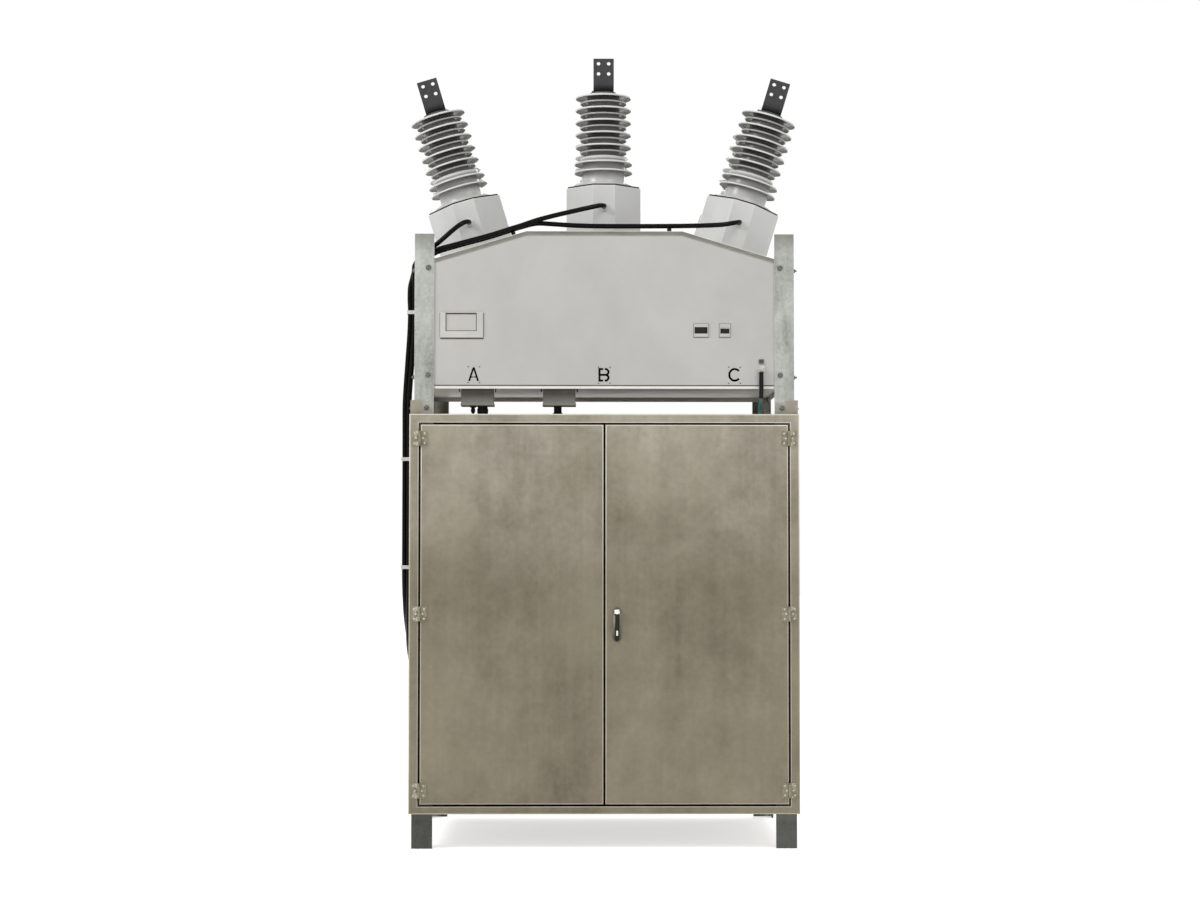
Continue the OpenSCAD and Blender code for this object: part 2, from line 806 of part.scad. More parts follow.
module indicator_windows() {
    color(steel_grey) at_frame() for (p = panes) window(p[0], p[1], p[2]);
}

// Two connection boxes hung by their ears under the tank floor, with rimmed lids
module gland_boxes() {
    color(steel_grey) at_frame() for (x = box_xs)
        translate([x - box_w / 2, -tank_y + box_back, box_z0]) {
            cube([box_w, box_d, box_h]);
            translate([-ear_w, 0, box_h - ear_t]) cube([box_w + 2 * ear_w, box_d, ear_t]);
            translate([-lid_rim, -lid_rim, 0])
                cube([box_w + 2 * lid_rim, box_d + 2 * lid_rim, lid_h]);
        }
}

// Small gland with a round bulb and a narrow tip, along +Z
module small_gland(r, h) {
    rotate_extrude() polygon([
        [0, 0], [r * 1.4, 0], [r * 1.4, h * 0.12], [r * 0.8, h * 0.18],
        [r * 0.75, h * 0.26], [r * 0.95, h * 0.38], [r, h * 0.5], [r * 0.95, h * 0.62],
        [r * 0.72, h * 0.76], [r * 0.3, h * 0.86], [r * 0.3, h], [0, h]
    ]);
}

// Large gland: neck, hexagon nut with chamfered ends and a round foot, along +Z
module large_gland(r, h) {
    cylinder(r = r * 0.88, h = h);
    translate([0, 0, h * 0.24]) cylinder(r1 = r * 0.9, r2 = r, h = h * 0.12, $fn = 6);
    translate([0, 0, h * 0.36]) cylinder(r = r, h = h * 0.36, $fn = 6);
    translate([0, 0, h * 0.72]) cylinder(r1 = r, r2 = r * 0.88, h = h * 0.16, $fn = 6);
}

// Sleeve from a connection box down to a foot plate on the cabinet roof, along +Z
module sleeve(r, foot, h) {
    rotate_extrude() polygon([
        [0, 0], [r, 0], [r, h * 0.66], [foot, h * 0.92], [foot, h], [0, h]
    ]);
    translate([-foot, -foot, h - sleeve_plate_t])
        cube([foot + sleeve_plate_l, 2 * foot, sleeve_plate_t]);
}

module cable_glands() {
    color(black) at_frame() translate([0, gland_y, box_z0]) mirror([0, 0, 1]) {
        translate([small_gland_x, 0, 0]) small_gland(small_gland_r, small_gland_h);
        translate([large_gland_x, 0, 0]) large_gland(large_gland_r, large_gland_h);
        translate([sleeve_x, 0, 0]) sleeve(sleeve_r, sleeve_foot_r, gland_room);
    }
    color(black) for (col = [-1, 0, 1])
        at_pole(col, -1) translate([0, -housing_w / 2, gland_z]) rotate([90, 0, 0])
            rotate_extrude() polygon([
                [0, 0], [cable_gland_r, 0], [cable_gland_r, 4], [cable_gland_r - 2, 5],
                [cable_gland_r - 4, 5], [cable_gland_r - 4, 14], [0, 14]
            ]);
}

// Earth point on the tank front: welded square, stud with washer, cable tag
module earth_terminal() {
    color(zinc) at_frame() translate([earth_x, -tank_y, 0]) {
        block([-pad_w / 2, -pad_t, pad_z], [pad_w / 2, 0, pad_z + pad_h]);
        translate([0, 0, stud_z]) rotate([90, 0, 0]) {
            cylinder(r = washer_r, h = washer_t);
            cylinder(r = stud_r, h = stud_len);
        }
    }
    color(black) at_frame()
        block([earth_x - 9, -tank_y - washer_t - tag_t, tag_foot],
              [earth_x - 9 + tag_w, -tank_y - washer_t, tag_top]);
}

// Unit vector
function unit(v) = v / norm(v);

// Direction of a route at point i
function heading(p, i) = unit(p[min(i + 1, len(p) - 1)] - p[max(i - 1, 0)]);

// Sideways vector at point i, carried along from the one before it
function side(p, i, last) = unit(last - heading(p, i) * (last * heading(p, i)));
function sides(p, i, last) = i >= len(p) ? [] :
    concat([side(p, i, last)], sides(p, i + 1, side(p, i, last)));

// A closed tube of radius r swept along the points p, with n sides
module swept_tube(p, r, n) {
    s = sides(p, 0, [0.13, 0.21, 0.97]);
    rings = [for (i = [0 : len(p) - 1], k = [0 : n - 1])
        p[i] + r * (cos(360 * k / n) * s[i] + sin(360 * k / n) * cross(heading(p, i), s[i]))];
    bands = [for (i = [0 : len(p) - 2], k = [0 : n - 1])
        [i * n + k, (i + 1) * n + k, (i + 1) * n + (k + 1) % n, i * n + (k + 1) % n]];
    start = [for (k = [0 : n - 1]) k];
    end = [for (k = [n - 1 : -1 : 0]) (len(p) - 1) * n + k];
    polyhedron(points = rings, faces = concat(bands, [start], [end]), convexity = 8);
}

module earth_wire() { color(green) at_frame() swept_tube(wire_route, wire_d / 2, 8); }
module ct_cable_a() { color(black) at_frame() swept_tube(a_route, cable_d / 2, 8); }
module ct_cable_b() { color(black) at_frame() swept_tube(b_route, cable_d / 2, 8); }
module ct_cable_c() { color(black) at_frame() swept_tube(c_route, cable_d / 2, 8); }

// Straps that hold the cables to the tank side, the cabinet wall and the roof
module cable_clips() {
    color(zinc) at_frame() {
        for (s = straps) translate([-s[1], bundle_y, s[0]]) difference() {
            block([-s[2] - strap_t, -bundle_w / 2 - strap_t, -strap_h / 2],
                  [0, bundle_w / 2 + strap_t, strap_h / 2]);
            block([-s[2], -bundle_w / 2, -strap_h], [1, bundle_w / 2, strap_h]);
        }
        for (c = roof_pads) translate([c[0], pad_y, roof_at(c[0])])
            rotate([0, abs(c[0]) > roof_half ? sign(c[0]) * roof_slope : 0, 0])
                block([-roof_pad_w / 2, 0, 0], [roof_pad_w / 2, pad_d, c[1]]);
    }
}

// Hood on the cabinet side that the cables run into
module cable_entry() {
    color(raw_steel) at_frame()
        block([-cab_x - entry_x, entry_y, entry_z - entry_h / 2],
              [-cab_x, entry_y + entry_d, entry_z + entry_h / 2]);
}

leg_front_left();
leg_front_right();
leg_rear_left();
leg_rear_right();
post_front_left();
post_front_right();
post_rear_left();
post_rear_right();
front_frame();
left_wall();
right_wall();
back_wall();
cabinet_roof();
cabinet_floor();
door_left();
door_right();
frame_hinge_leaves();
left_door_hinge_leaves();
right_door_hinge_leaves();
handle_plate();
handle_lever();
tank_walls();
tank_roof();
tank_floor();
ct_housing_a_front();
ct_housing_b_front();
ct_housing_c_front();
ct_housing_a_rear();
ct_housing_b_rear();
ct_housing_c_rear();
insulator_a_front();
insulator_b_front();
insulator_c_front();
insulator_a_rear();
insulator_b_rear();
insulator_c_rear();
terminals_front();
terminals_rear();
nameplate_holder();
indicator_windows();
gland_boxes();
cable_glands();
earth_terminal();
earth_wire();
ct_cable_a();
ct_cable_b();
ct_cable_c();
cable_clips();
cable_entry();
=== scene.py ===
"""Looks of an outdoor vacuum circuit breaker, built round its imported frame.

Lengths are metres, +Z is up and the cabinet doors face -Y.
"""

from __future__ import annotations

import json
import logging
import math
from dataclasses import dataclass, replace
from enum import Enum
from functools import partial
from typing import Any, Callable, Optional, Sequence

import bmesh
import bpy
from mathutils import Euler, Matrix, Vector

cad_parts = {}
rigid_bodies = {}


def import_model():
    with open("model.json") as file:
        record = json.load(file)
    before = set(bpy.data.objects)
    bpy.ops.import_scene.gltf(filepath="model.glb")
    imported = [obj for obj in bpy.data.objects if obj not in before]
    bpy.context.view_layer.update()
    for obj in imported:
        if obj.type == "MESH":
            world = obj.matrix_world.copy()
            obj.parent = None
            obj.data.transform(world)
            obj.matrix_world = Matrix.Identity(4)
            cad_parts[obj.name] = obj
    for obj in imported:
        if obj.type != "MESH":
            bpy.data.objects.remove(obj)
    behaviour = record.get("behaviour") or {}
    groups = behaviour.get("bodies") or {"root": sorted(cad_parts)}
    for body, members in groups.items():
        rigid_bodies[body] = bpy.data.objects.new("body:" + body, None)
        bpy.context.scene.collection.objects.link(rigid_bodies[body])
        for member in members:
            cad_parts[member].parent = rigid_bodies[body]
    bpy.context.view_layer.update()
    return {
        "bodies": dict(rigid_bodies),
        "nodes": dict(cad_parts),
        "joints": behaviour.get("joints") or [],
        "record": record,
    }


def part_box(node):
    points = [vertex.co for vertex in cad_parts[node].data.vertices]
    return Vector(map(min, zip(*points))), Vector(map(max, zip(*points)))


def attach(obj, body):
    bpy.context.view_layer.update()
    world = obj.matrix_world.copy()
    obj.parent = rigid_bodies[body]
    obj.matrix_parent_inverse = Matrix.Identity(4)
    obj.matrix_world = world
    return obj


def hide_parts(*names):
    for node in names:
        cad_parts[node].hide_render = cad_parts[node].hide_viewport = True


LOG = logging.getLogger("breaker")
MM = 0.001
ROOT = "breaker"
ORIGIN = (0.0, 0.0, 0.0)
WHITE = (1.0, 1.0, 1.0)
FACING = {"front": -1, "rear": 1, "left": -1, "right": 1}
SOCKETS = {int: "NodeSocketInt", float: "NodeSocketFloat", tuple: "NodeSocketVector"}
Pair = tuple[float, float]
Point = tuple[float, float, float]
RadiusRule = Callable[[Vector], float]
ZoneTest = Callable[[Vector, Vector], bool]


def paint(shade: int) -> Point:
    """Linear colour of a shade.

    Args:
        shade: Red, green and blue in display values, 0xRRGGBB.

    Returns:
        The linear colour.
    """
    parts = ((shade >> place & 255) / 255 for place in (16, 8, 0))
    return tuple(
        part / 12.92 if part <= 0.04045 else ((part + 0.055) / 1.055) ** 2.4
        for part in parts
    )


def in_scene(name: str, data: bpy.types.ID) -> bpy.types.Object:
    """A new object of the scene, holding the data.

    Args:
        name: The object's name.
        data: What the object holds.

    Returns:
        The linked object.
    """
    made = bpy.data.objects.new(name, data)
    bpy.context.scene.collection.objects.link(made)
    return made


class Tree:
    """Short calls for making and linking the nodes of one tree."""

    def __init__(self, tree: bpy.types.NodeTree) -> None:
        """Keeps the tree that the nodes go into."""
        self.tree = tree

    @classmethod
    def cleared(cls, owner: bpy.types.Material | bpy.types.World) -> Tree:
        """The node tree of a material or world, with nothing in it.

        Args:
            owner: The material or world, which gets its nodes switched on.

        Returns:
            The emptied tree.
        """
        owner.use_nodes = True
        owner.node_tree.nodes.clear()
        return cls(owner.node_tree)

    def put(self, socket: bpy.types.NodeSocket, value: Any) -> None:
        """Links an output socket to the given input, or sets its value.

        Args:
            socket: Input of a node.
            value: Output socket, colour, vector or number.
        """
        if isinstance(value, bpy.types.NodeSocket):
            self.tree.links.new(value, socket)
        elif socket.type == "RGBA" and len(value) == 3:
            socket.default_value = (*value, 1.0)
        else:
            socket.default_value = value

    def node(self, kind: str, *inputs: Any, **named: Any) -> Any:
        """Makes a node.

        Args:
            kind: Blender's name for the node's type.
            *inputs: Values or output sockets for its inputs in order, None for as is.
            **named: Further inputs, with a capital first and _ for a space, and
                properties of the node, in small letters.

        Returns:
            The outputs of the new node.
        """
        made = self.tree.nodes.new(kind)
        for key, value in named.items():
            if key[0].islower():
                setattr(made, key, value)
        for socket, value in zip(made.inputs, inputs):
            if value is not None:
                self.put(socket, value)
        for key, value in named.items():
            if not key[0].islower():
                self.put(made.inputs[key.replace("_", " ")], value)
        return made.outputs

    def shade(self, kind: str, *inputs: Any, **named: Any) -> Any:
        """A node whose type is named after shading, as most of them are."""
        return self.node(f"ShaderNode{kind}", *inputs, **named)

    def socket(self, label: str, kind: str, way: str = "INPUT") -> Any:
        """A new socket on the outside of this tree."""
        return self.tree.interface.new_socket(label, in_out=way, socket_type=kind)

    def sizes(self, **starts: Any) -> None:
        """Named inputs with their starting values, _ standing for a space.

        Args:
            **starts: Starting value of each input, whose type it sets.
        """
        for label, value in starts.items():
            kind = SOCKETS[type(value)]
            self.socket(label.replace("_", " "), kind).default_value = value

    def math(self, operation: str, *operands: Any) -> Any:
        """Output of a Math node."""
        return self.shade("Math", *operands, operation=operation)[0]

    def vector(self, operation: str, *operands: Any) -> Any:
        """Outputs of a Vector Math node."""
        return self.shade("VectorMath", *operands, operation=operation)

    def spread(self, value: Any, low: float, high: float) -> Any:
        """The value stretched from low..high to 0..1 and held there."""
        return self.shade("MapRange", value, low, high)[0]

    def between(self, factor: Any, low: float, high: float) -> Any:
        """A number that goes from low to high with the factor."""
        return self.shade("MapRange", factor, To_Min=low, To_Max=high)[0]

    def mix(self, factor: Any, first: Any, second: Any) -> Any:
        """Colour output of a Mix node."""
        numbers = [None] * 5
        return self.shade("Mix", factor, *numbers, first, second, data_type="RGBA")[2]

    def noise(self, place: Any, scale: Any, detail: float, **more: Any) -> Any:
        """Factor output of a Noise Texture."""
        return self.shade("TexNoise", place, Scale=scale, Detail=detail, **more)[0]


class Effect(Enum):
    """Surface effects that finishes share: each one's node group and its sizes."""

    STAINS = ("cloudy_stains", {"Scale": 3.0, "Upright": 0.5})
    SPANGLE = ("zinc_spangle", {"Scale": 90.0})
    GRAIN = ("fine_grain", {"Scale": 900.0})
    # Edge colour: rubbed wear, and on many finishes a painted highlight along rounded
    # edges
    WEAR = ("edge_wear", {"Radius": 0.003})
    GRIME = ("settled_grime", {"Scale": 14.0})
    STREAKS = ("rolling_streaks", {"Scale": 60.0})


class Effects:
    """Builds each shared effect once, as a node group, and places it in materials."""

    def __init__(self) -> None:
        """Starts with no group built."""
        self.groups: dict[Effect, bpy.types.NodeTree] = {}

    def use(self, tree: Tree, place: Any, effect: Effect, **values: Any) -> Any:
        """Puts an effect's group into a material.

        Args:
            tree: The material's tree.
            place: Coordinates that the effect is laid out on.
            effect: Which effect.
            **values: The group's further inputs.

        Returns:
            The outputs of the group node.
        """
        if effect not in self.groups:
            self.groups[effect] = self._group(effect)
        return tree.shade("Group", node_tree=self.groups[effect], Place=place, **values)

    def _group(self, effect: Effect) -> bpy.types.NodeTree:
        """An effect's group, made by the method that has the effect's name.

        Args:
            effect: The effect to make.

        Returns:
            Its node group.
        """
        name, sizes = effect.value
        tree = Tree(bpy.data.node_groups.new(name, "ShaderNodeTree"))
        tree.sizes(Place=ORIGIN, **sizes)
        make = getattr(self, f"_{effect.name.lower()}")
        results = make(tree, tree.node("NodeGroupInput"))
        for label in results:
            tree.socket(label, "NodeSocketFloat", "OUTPUT")
        tree.node("NodeGroupOutput", **results)
        return tree.tree

    @staticmethod
    def _stains(tree: Tree, given: Any) -> dict:
        """Soft clouds of two sizes, drawn out upwards, and small flecks.

        Args:
            tree: The group's tree.
            given: Its inputs.

        Returns:
            The outputs by name.
        """
        shape = tree.shade("CombineXYZ", 1.0, 1.0, given["Upright"])
        place = tree.vector("MULTIPLY", given["Place"], shape[0])[0]
        scale = given["Scale"]
        wide = tree.noise(place, scale, 5.0, Distortion=0.6)
        finer = tree.math("MULTIPLY", scale, 4.3)
        small = tree.noise(place, finer, 6.0, Roughness=0.62)
        both = tree.math("MULTIPLY_ADD", small, 0.42, tree.math("MULTIPLY", wide, 0.62))
        fleck = tree.noise(given["Place"], tree.math("MULTIPLY", scale, 19.0), 3.0)
        return {
            "Stain": tree.spread(both, 0.34, 0.70),
            "Fleck": tree.spread(fleck, 0.35, 0.68),
        }

    @staticmethod
    def _spangle(tree: Tree, given: Any) -> dict:
        """Zinc crystals: a tone from 0 to 1 in each, and their borders.

        Args:
            tree: The group's tree.
            given: Its inputs.

        Returns:
            The outputs by name.
        """
        bent = tree.shade("TexNoise", given["Place"], Scale=24.0, Detail=2.0)
        place = tree.vector("MULTIPLY_ADD", bent["Color"], (0.02,) * 3, given["Place"])
        cells = tree.shade("TexVoronoi", place[0], Scale=given["Scale"])
        tone = tree.shade("SeparateColor", cells["Color"])
        return {"Tone": tone[0], "Border": tree.spread(cells["Distance"], 0.2, 0.8)}

    @staticmethod
    def _grain(tree: Tree, given: Any) -> dict:
        """Fine even relief, as sprayed paint or a moulding has."""
        return {"Height": tree.noise(given["Place"], given["Scale"], 2.0)}

    @staticmethod
    def _wear(tree: Tree, given: Any) -> dict:
        """Mask of the edges, for rubbed wear and for painted highlights: where a
        rounded normal leaves the true one.

        Args:
            tree: The group's tree.
            given: Its inputs.

        Returns:
            The outputs by name.
        """
        soft = tree.shade("Bevel", given["Radius"], samples=4)[0]
        true = tree.shade("NewGeometry")["True Normal"]
        meeting = tree.vector("DOT_PRODUCT", soft, true)["Value"]
        bare = tree.math("SUBTRACT", 1.0, meeting)
        patchy = tree.between(tree.noise(given["Place"], 60.0, 3.0), 1.2, 5.5)
        return {"Mask": tree.spread(tree.math("MULTIPLY", bare, patchy), 0.05, 0.6)}

    @staticmethod
    def _grime(tree: Tree, given: Any) -> dict:
        """Mask of the dirt on faces that look up.

        Args:
            tree: The group's tree.
            given: Its inputs.

        Returns:
            The outputs by name.
        """
        facing = tree.shade("NewGeometry")["Normal"]
        height = tree.shade("SeparateXYZ", facing)[2]
        patchy = tree.noise(given["Place"], given["Scale"], 4.0)
        top = tree.math("MULTIPLY", tree.spread(height, 0.3, 1.0), patchy)
        return {"Top": tree.spread(top, 0.2, 0.8)}

    @staticmethod
    def _streaks(tree: Tree, given: Any) -> dict:
        """Thin upright streaks from rolling and wiping the sheet.

        Args:
            tree: The group's tree.
            given: Its inputs.

        Returns:
            The outputs by name.
        """
        place = tree.shade("Mapping", given["Place"], Scale=(1.0, 1.0, 0.03))[0]
        lines = tree.noise(place, given["Scale"], 5.0, Roughness=0.6)
        return {"Streak": tree.spread(lines, 0.3, 0.7)}


class Pattern(Enum):
    """Kinds of surface, each with the name of its method in the paint shop."""

    CLOUDED = "_clouded"
    SPANGLED = "_spangled"
    SPRAYED = "_sprayed"
    MOULDED = "_moulded"
    TONED = "_toned"
    POLISHED = "_polished"


@dataclass(frozen=True)
class Finish:
    """Shades and surface numbers of one finish; low has its shades lower down."""

    name: str
    dark: int
    light: int
    slot: str
    pattern: Pattern
    metallic: float = 0.0
    rough: Pair = (0.4, 0.5)
    scale: float = 3.0
    relief: float = 0.05
    edge: Optional[int] = None
    edge_radius: float = 0.003
    grime: float = 0.0
    coat: float = 0.0
    coat_rough: float = 0.2
    gloss: float = 0.5
    tinge: Optional[int] = None
    low: Optional[tuple[int, int]] = None
    low_span: Pair = (0.0, 1.0)


galvanised = partial(
    Finish, slot="galvanised_steel", pattern=Pattern.SPANGLED, metallic=0.3
)
mill_sheet = partial(Finish, slot="cabinet_steel", pattern=Pattern.CLOUDED)
worked_metal = partial(Finish, slot="handle_chrome", pattern=Pattern.POLISHED)
tank_coat = partial(Finish, slot="tank_paint", pattern=Pattern.SPRAYED)
moulding = partial(Finish, slot="gland_plastic", pattern=Pattern.MOULDED)
small_zinc = partial(
    Finish, slot="zinc_fittings", pattern=Pattern.SPANGLED, scale=260.0
)

ZINC = galvanised(
    "spangled_zinc", 0x64655D, 0x96968E, rough=(0.42, 0.58), scale=110.0, edge=0xD4D4D0,
    grime=0.15, low=(0x6A6B65, 0xC2C4BE), low_span=(2.255, 2.325),
)
# Back posts: darker below the tank's underside, painted shade where they stand behind
# the tank
SHADOWED_BACK_POST_ZINC = replace(
    ZINC, name="shaded_zinc", low=(0x3A3A30, 0x626256), low_span=(1.72, 1.86),
)
# Legs: dull zinc, much darker at the feet below the cabinet, which is painted shade
ZINC_LEGS_SHADED_FEET = galvanised(
    "dulled_zinc", 0x88887E, 0xACABA2, rough=(0.45, 0.6), scale=120.0, edge=0xC6C6BE,
    grime=0.25, low=(0x343530, 0x585953), low_span=(0.10, 0.26),
)
# Cabinet sheet: real stains and hue patches; darker below about 1.6 m, which is painted
# shade of the light falling off downwards
SHEET = mill_sheet(
    "stained_mill_sheet", 0x726B5B, 0xB1AA9C, metallic=0.3, rough=(0.36, 0.52),
    scale=2.3, grime=0.12, low=(0x58503F, 0x887F6D), low_span=(1.0, 1.58),
    tinge=0x807C62,
)
# Rounded folds of the sheet: pale as a painted highlight, and darker lower down as
# painted shade
FOLD = mill_sheet(
    "rubbed_sheet_fold", 0xBAB4A4, 0xDCD6C8, metallic=0.2, rough=(0.3, 0.42), scale=9.0,
    relief=0.04, low=(0x98907F, 0xBCB4A3), low_span=(1.05, 1.47),
)
GAP_SHADE = mill_sheet(
    "unlit_door_gap", 0x342A1C, 0x4A3F2E, rough=(0.7, 0.8), scale=9.0, relief=0.1,
    gloss=0.1,
)
# Hinge steel; its bright edge colour on the knuckles and top edges is a painted
# highlight
HINGE = mill_sheet(
    "dull_hinge_steel", 0x544F3D, 0xA8A28C, slot="hinge_steel", metallic=0.1,
    rough=(0.45, 0.6), scale=45.0, relief=0.08, edge=0xB8B29E, edge_radius=0.0012,
    gloss=0.15,
)
CHROME = worked_metal(
    "bright_chrome", 0xCECECC, 0xE8E8E6, metallic=1.0, rough=(0.06, 0.14), scale=40.0,
    relief=0.01,
)
# Handle plate: chrome painted dark olive grey, a painted reflection of dark
# surroundings
CHROME_PLATE_DARK_REFLECTION = worked_metal(
    "dull_chrome_plate", 0x423E34, 0x706B5E, metallic=0.3, rough=(0.24, 0.36),
    scale=60.0, relief=0.02, edge=0x969182, edge_radius=0.001, gloss=0.3,
)
# Handle lever: chrome painted near black, a painted reflection of dark surroundings
CHROME_LEVER_DARK_REFLECTION = worked_metal(
    "dark_polished_grip", 0x100F0C, 0x26241E, rough=(0.2, 0.3), scale=30.0, relief=0.01,
    gloss=0.15,
)
# Terminals and insulator caps: metal painted dark grey, which is painted shade
TERMINAL_METAL_SHADED = worked_metal(
    "dark_plated_bar", 0x2C2C2D, 0x404042, slot="terminal_metal", metallic=0.2,
    rough=(0.42, 0.56), scale=30.0, relief=0.03, edge=0x68686A, edge_radius=0.001,
    gloss=0.3,
)
DARK_PANE = worked_metal(
    "dark_window_pane", 0x121211, 0x222220, slot="tank_paint", rough=(0.2, 0.3),
    scale=60.0, relief=0.0, gloss=0.2,
)
TANK_PAINT = tank_coat(
    "grey_tank_paint", 0xAAA8A4, 0xB8B6B2, scale=1.7, edge=0xC8C7C3, grime=0.25,
    coat=0.1,
)
# Front faces of the nameplate holder, a little lighter than the tank
HOLDER_FRONT_PAINT = tank_coat(
    "rubbed_tank_paint", 0xB2B0AB, 0xBFBDB8, scale=5.0, edge=0xD4D3CE,
    edge_radius=0.002,
)
# Pale paint of the tank's bottom lip and the roof's upper folds: a painted highlight
PALE_EDGE = tank_coat(
    "pale_tank_edge", 0xD0CFC9, 0xDEDDD7, rough=(0.36, 0.44), scale=6.0, relief=0.04,
)
# Front faces of the roof's lip: painted shade
LIP_SHADE = tank_coat(
    "dull_roof_lip", 0x64635A, 0x828178, rough=(0.5, 0.6), scale=6.0, edge=0xB0AFA8,
    edge_radius=0.002, gloss=0.3,
)
# Soft band under the roof's lip: painted shadow
ROOF_LIP_SHADOW = tank_coat(
    "faint_dirt_band", 0x8C8B84, 0x9C9B94, rough=(0.5, 0.6), scale=14.0, gloss=0.3,
)
# Dark line paint: painted shadow round the holder and windows, dark lines over the lip
# and at the tank's sides, and the ticks round the phase marks
SHADOW_AND_MARK_LINE = tank_coat(
    "settled_dirt_line", 0x525149, 0x6C6B63, rough=(0.6, 0.7), scale=14.0, gloss=0.2,
)
# Tank floor: painted lighter than the tank as painted light bounced up from below
UNDERSIDE = tank_coat(
    "shaded_tank_paint", 0xC8C6BD, 0xD8D6CD, rough=(0.45, 0.55), edge=0xC4C3BC,
)
# Connection boxes: olive paint, darker up under the tank as painted shade and lighter
# at the bottom lip
BOX_PAINT = tank_coat(
    "olive_box_paint", 0x46443A, 0x58564C, rough=(0.42, 0.5), scale=8.0, gloss=0.3,
    low=(0x74736B, 0x84837B), low_span=(1.684, 1.722),
)
STENCIL = tank_coat(
    "black_stencil_paint", 0x090908, 0x121210, rough=(0.6, 0.7), scale=9.0, relief=0.03,
    gloss=0.0,
)
HOUSING_PAINT = tank_coat(
    "light_housing_paint", 0xBABAB8, 0xC6C6C4, slot="housing_paint", rough=(0.34, 0.42),
    scale=4.0, relief=0.04, edge=0xDEDEDC, grime=0.1, coat=0.15,
)
# Housing top gasket: black rubber, whose black band also paints the shade under the
# lowest shed
GASKET_AND_SHADE = moulding(
    "black_gasket", 0x1E1E1D, 0x2E2E2C, slot="housing_paint", rough=(0.5, 0.65),
    scale=500.0, relief=0.1, gloss=0.2,
)
# Silicone: its tones from the mesh are painted shade on the undersides and core and a
# painted highlight on the rims
SILICONE = moulding(
    "grey_silicone", 0x3A342D, 0xD0D0CD, slot="insulator_silicone",
    pattern=Pattern.TONED, rough=(0.24, 0.36), scale=420.0, relief=0.04, grime=0.1,
    coat=0.12, coat_rough=0.16, gloss=0.3,
)
BLACK_PLASTIC = moulding(
    "black_gland_plastic", 0x0A0A09, 0x141412, rough=(0.4, 0.55), scale=600.0,
    gloss=0.15,
)
PALE_PLASTIC = moulding(
    "pale_gland_plastic", 0xBAB8B2, 0xCECCC6, rough=(0.35, 0.5), scale=600.0,
)
# Dark strips behind the hinge gaps: painted shade, in the form of rubber seals
GAP_SHADOW_STRIP = moulding(
    "black_door_seal", 0x0A0805, 0x14110C, rough=(0.6, 0.75), scale=500.0, gloss=0.1,
)
SHEATH = moulding(
    "black_cable_sheath", 0x070705, 0x0E0D0A, slot="cable_sheath", rough=(0.18, 0.26),
    scale=380.0, relief=0.03, gloss=0.09,
)
EARTH_SHEATH = moulding(
    "green_earth_sheath", 0x2E564C, 0x487062, slot="earth_sheath", rough=(0.36, 0.48),
    scale=380.0, relief=0.04, gloss=0.3,
)
TIE = moulding(
    "pale_tie_plastic", 0xBCBEC0, 0xD6D7D8, slot="zinc_fittings", rough=(0.34, 0.46),
    scale=500.0, relief=0.04,
)
FITTING = small_zinc(
    "bright_zinc_fitting", 0x969690, 0xCCCCC6, metallic=0.4, rough=(0.3, 0.44),
    relief=0.03, edge=0xE8E8E4, edge_radius=0.001,
)
# Nuts and bolt heads: painted dark as the shadow round them, with a painted highlight
# on their edges
NUT_PAINTED_SHADE_AND_GLINT = small_zinc(
    "weathered_nut", 0x2C2C28, 0x54544E, metallic=0.2, rough=(0.36, 0.5), relief=0.04,
    edge=0xCECEC8, edge_radius=0.0016, gloss=0.3,
)


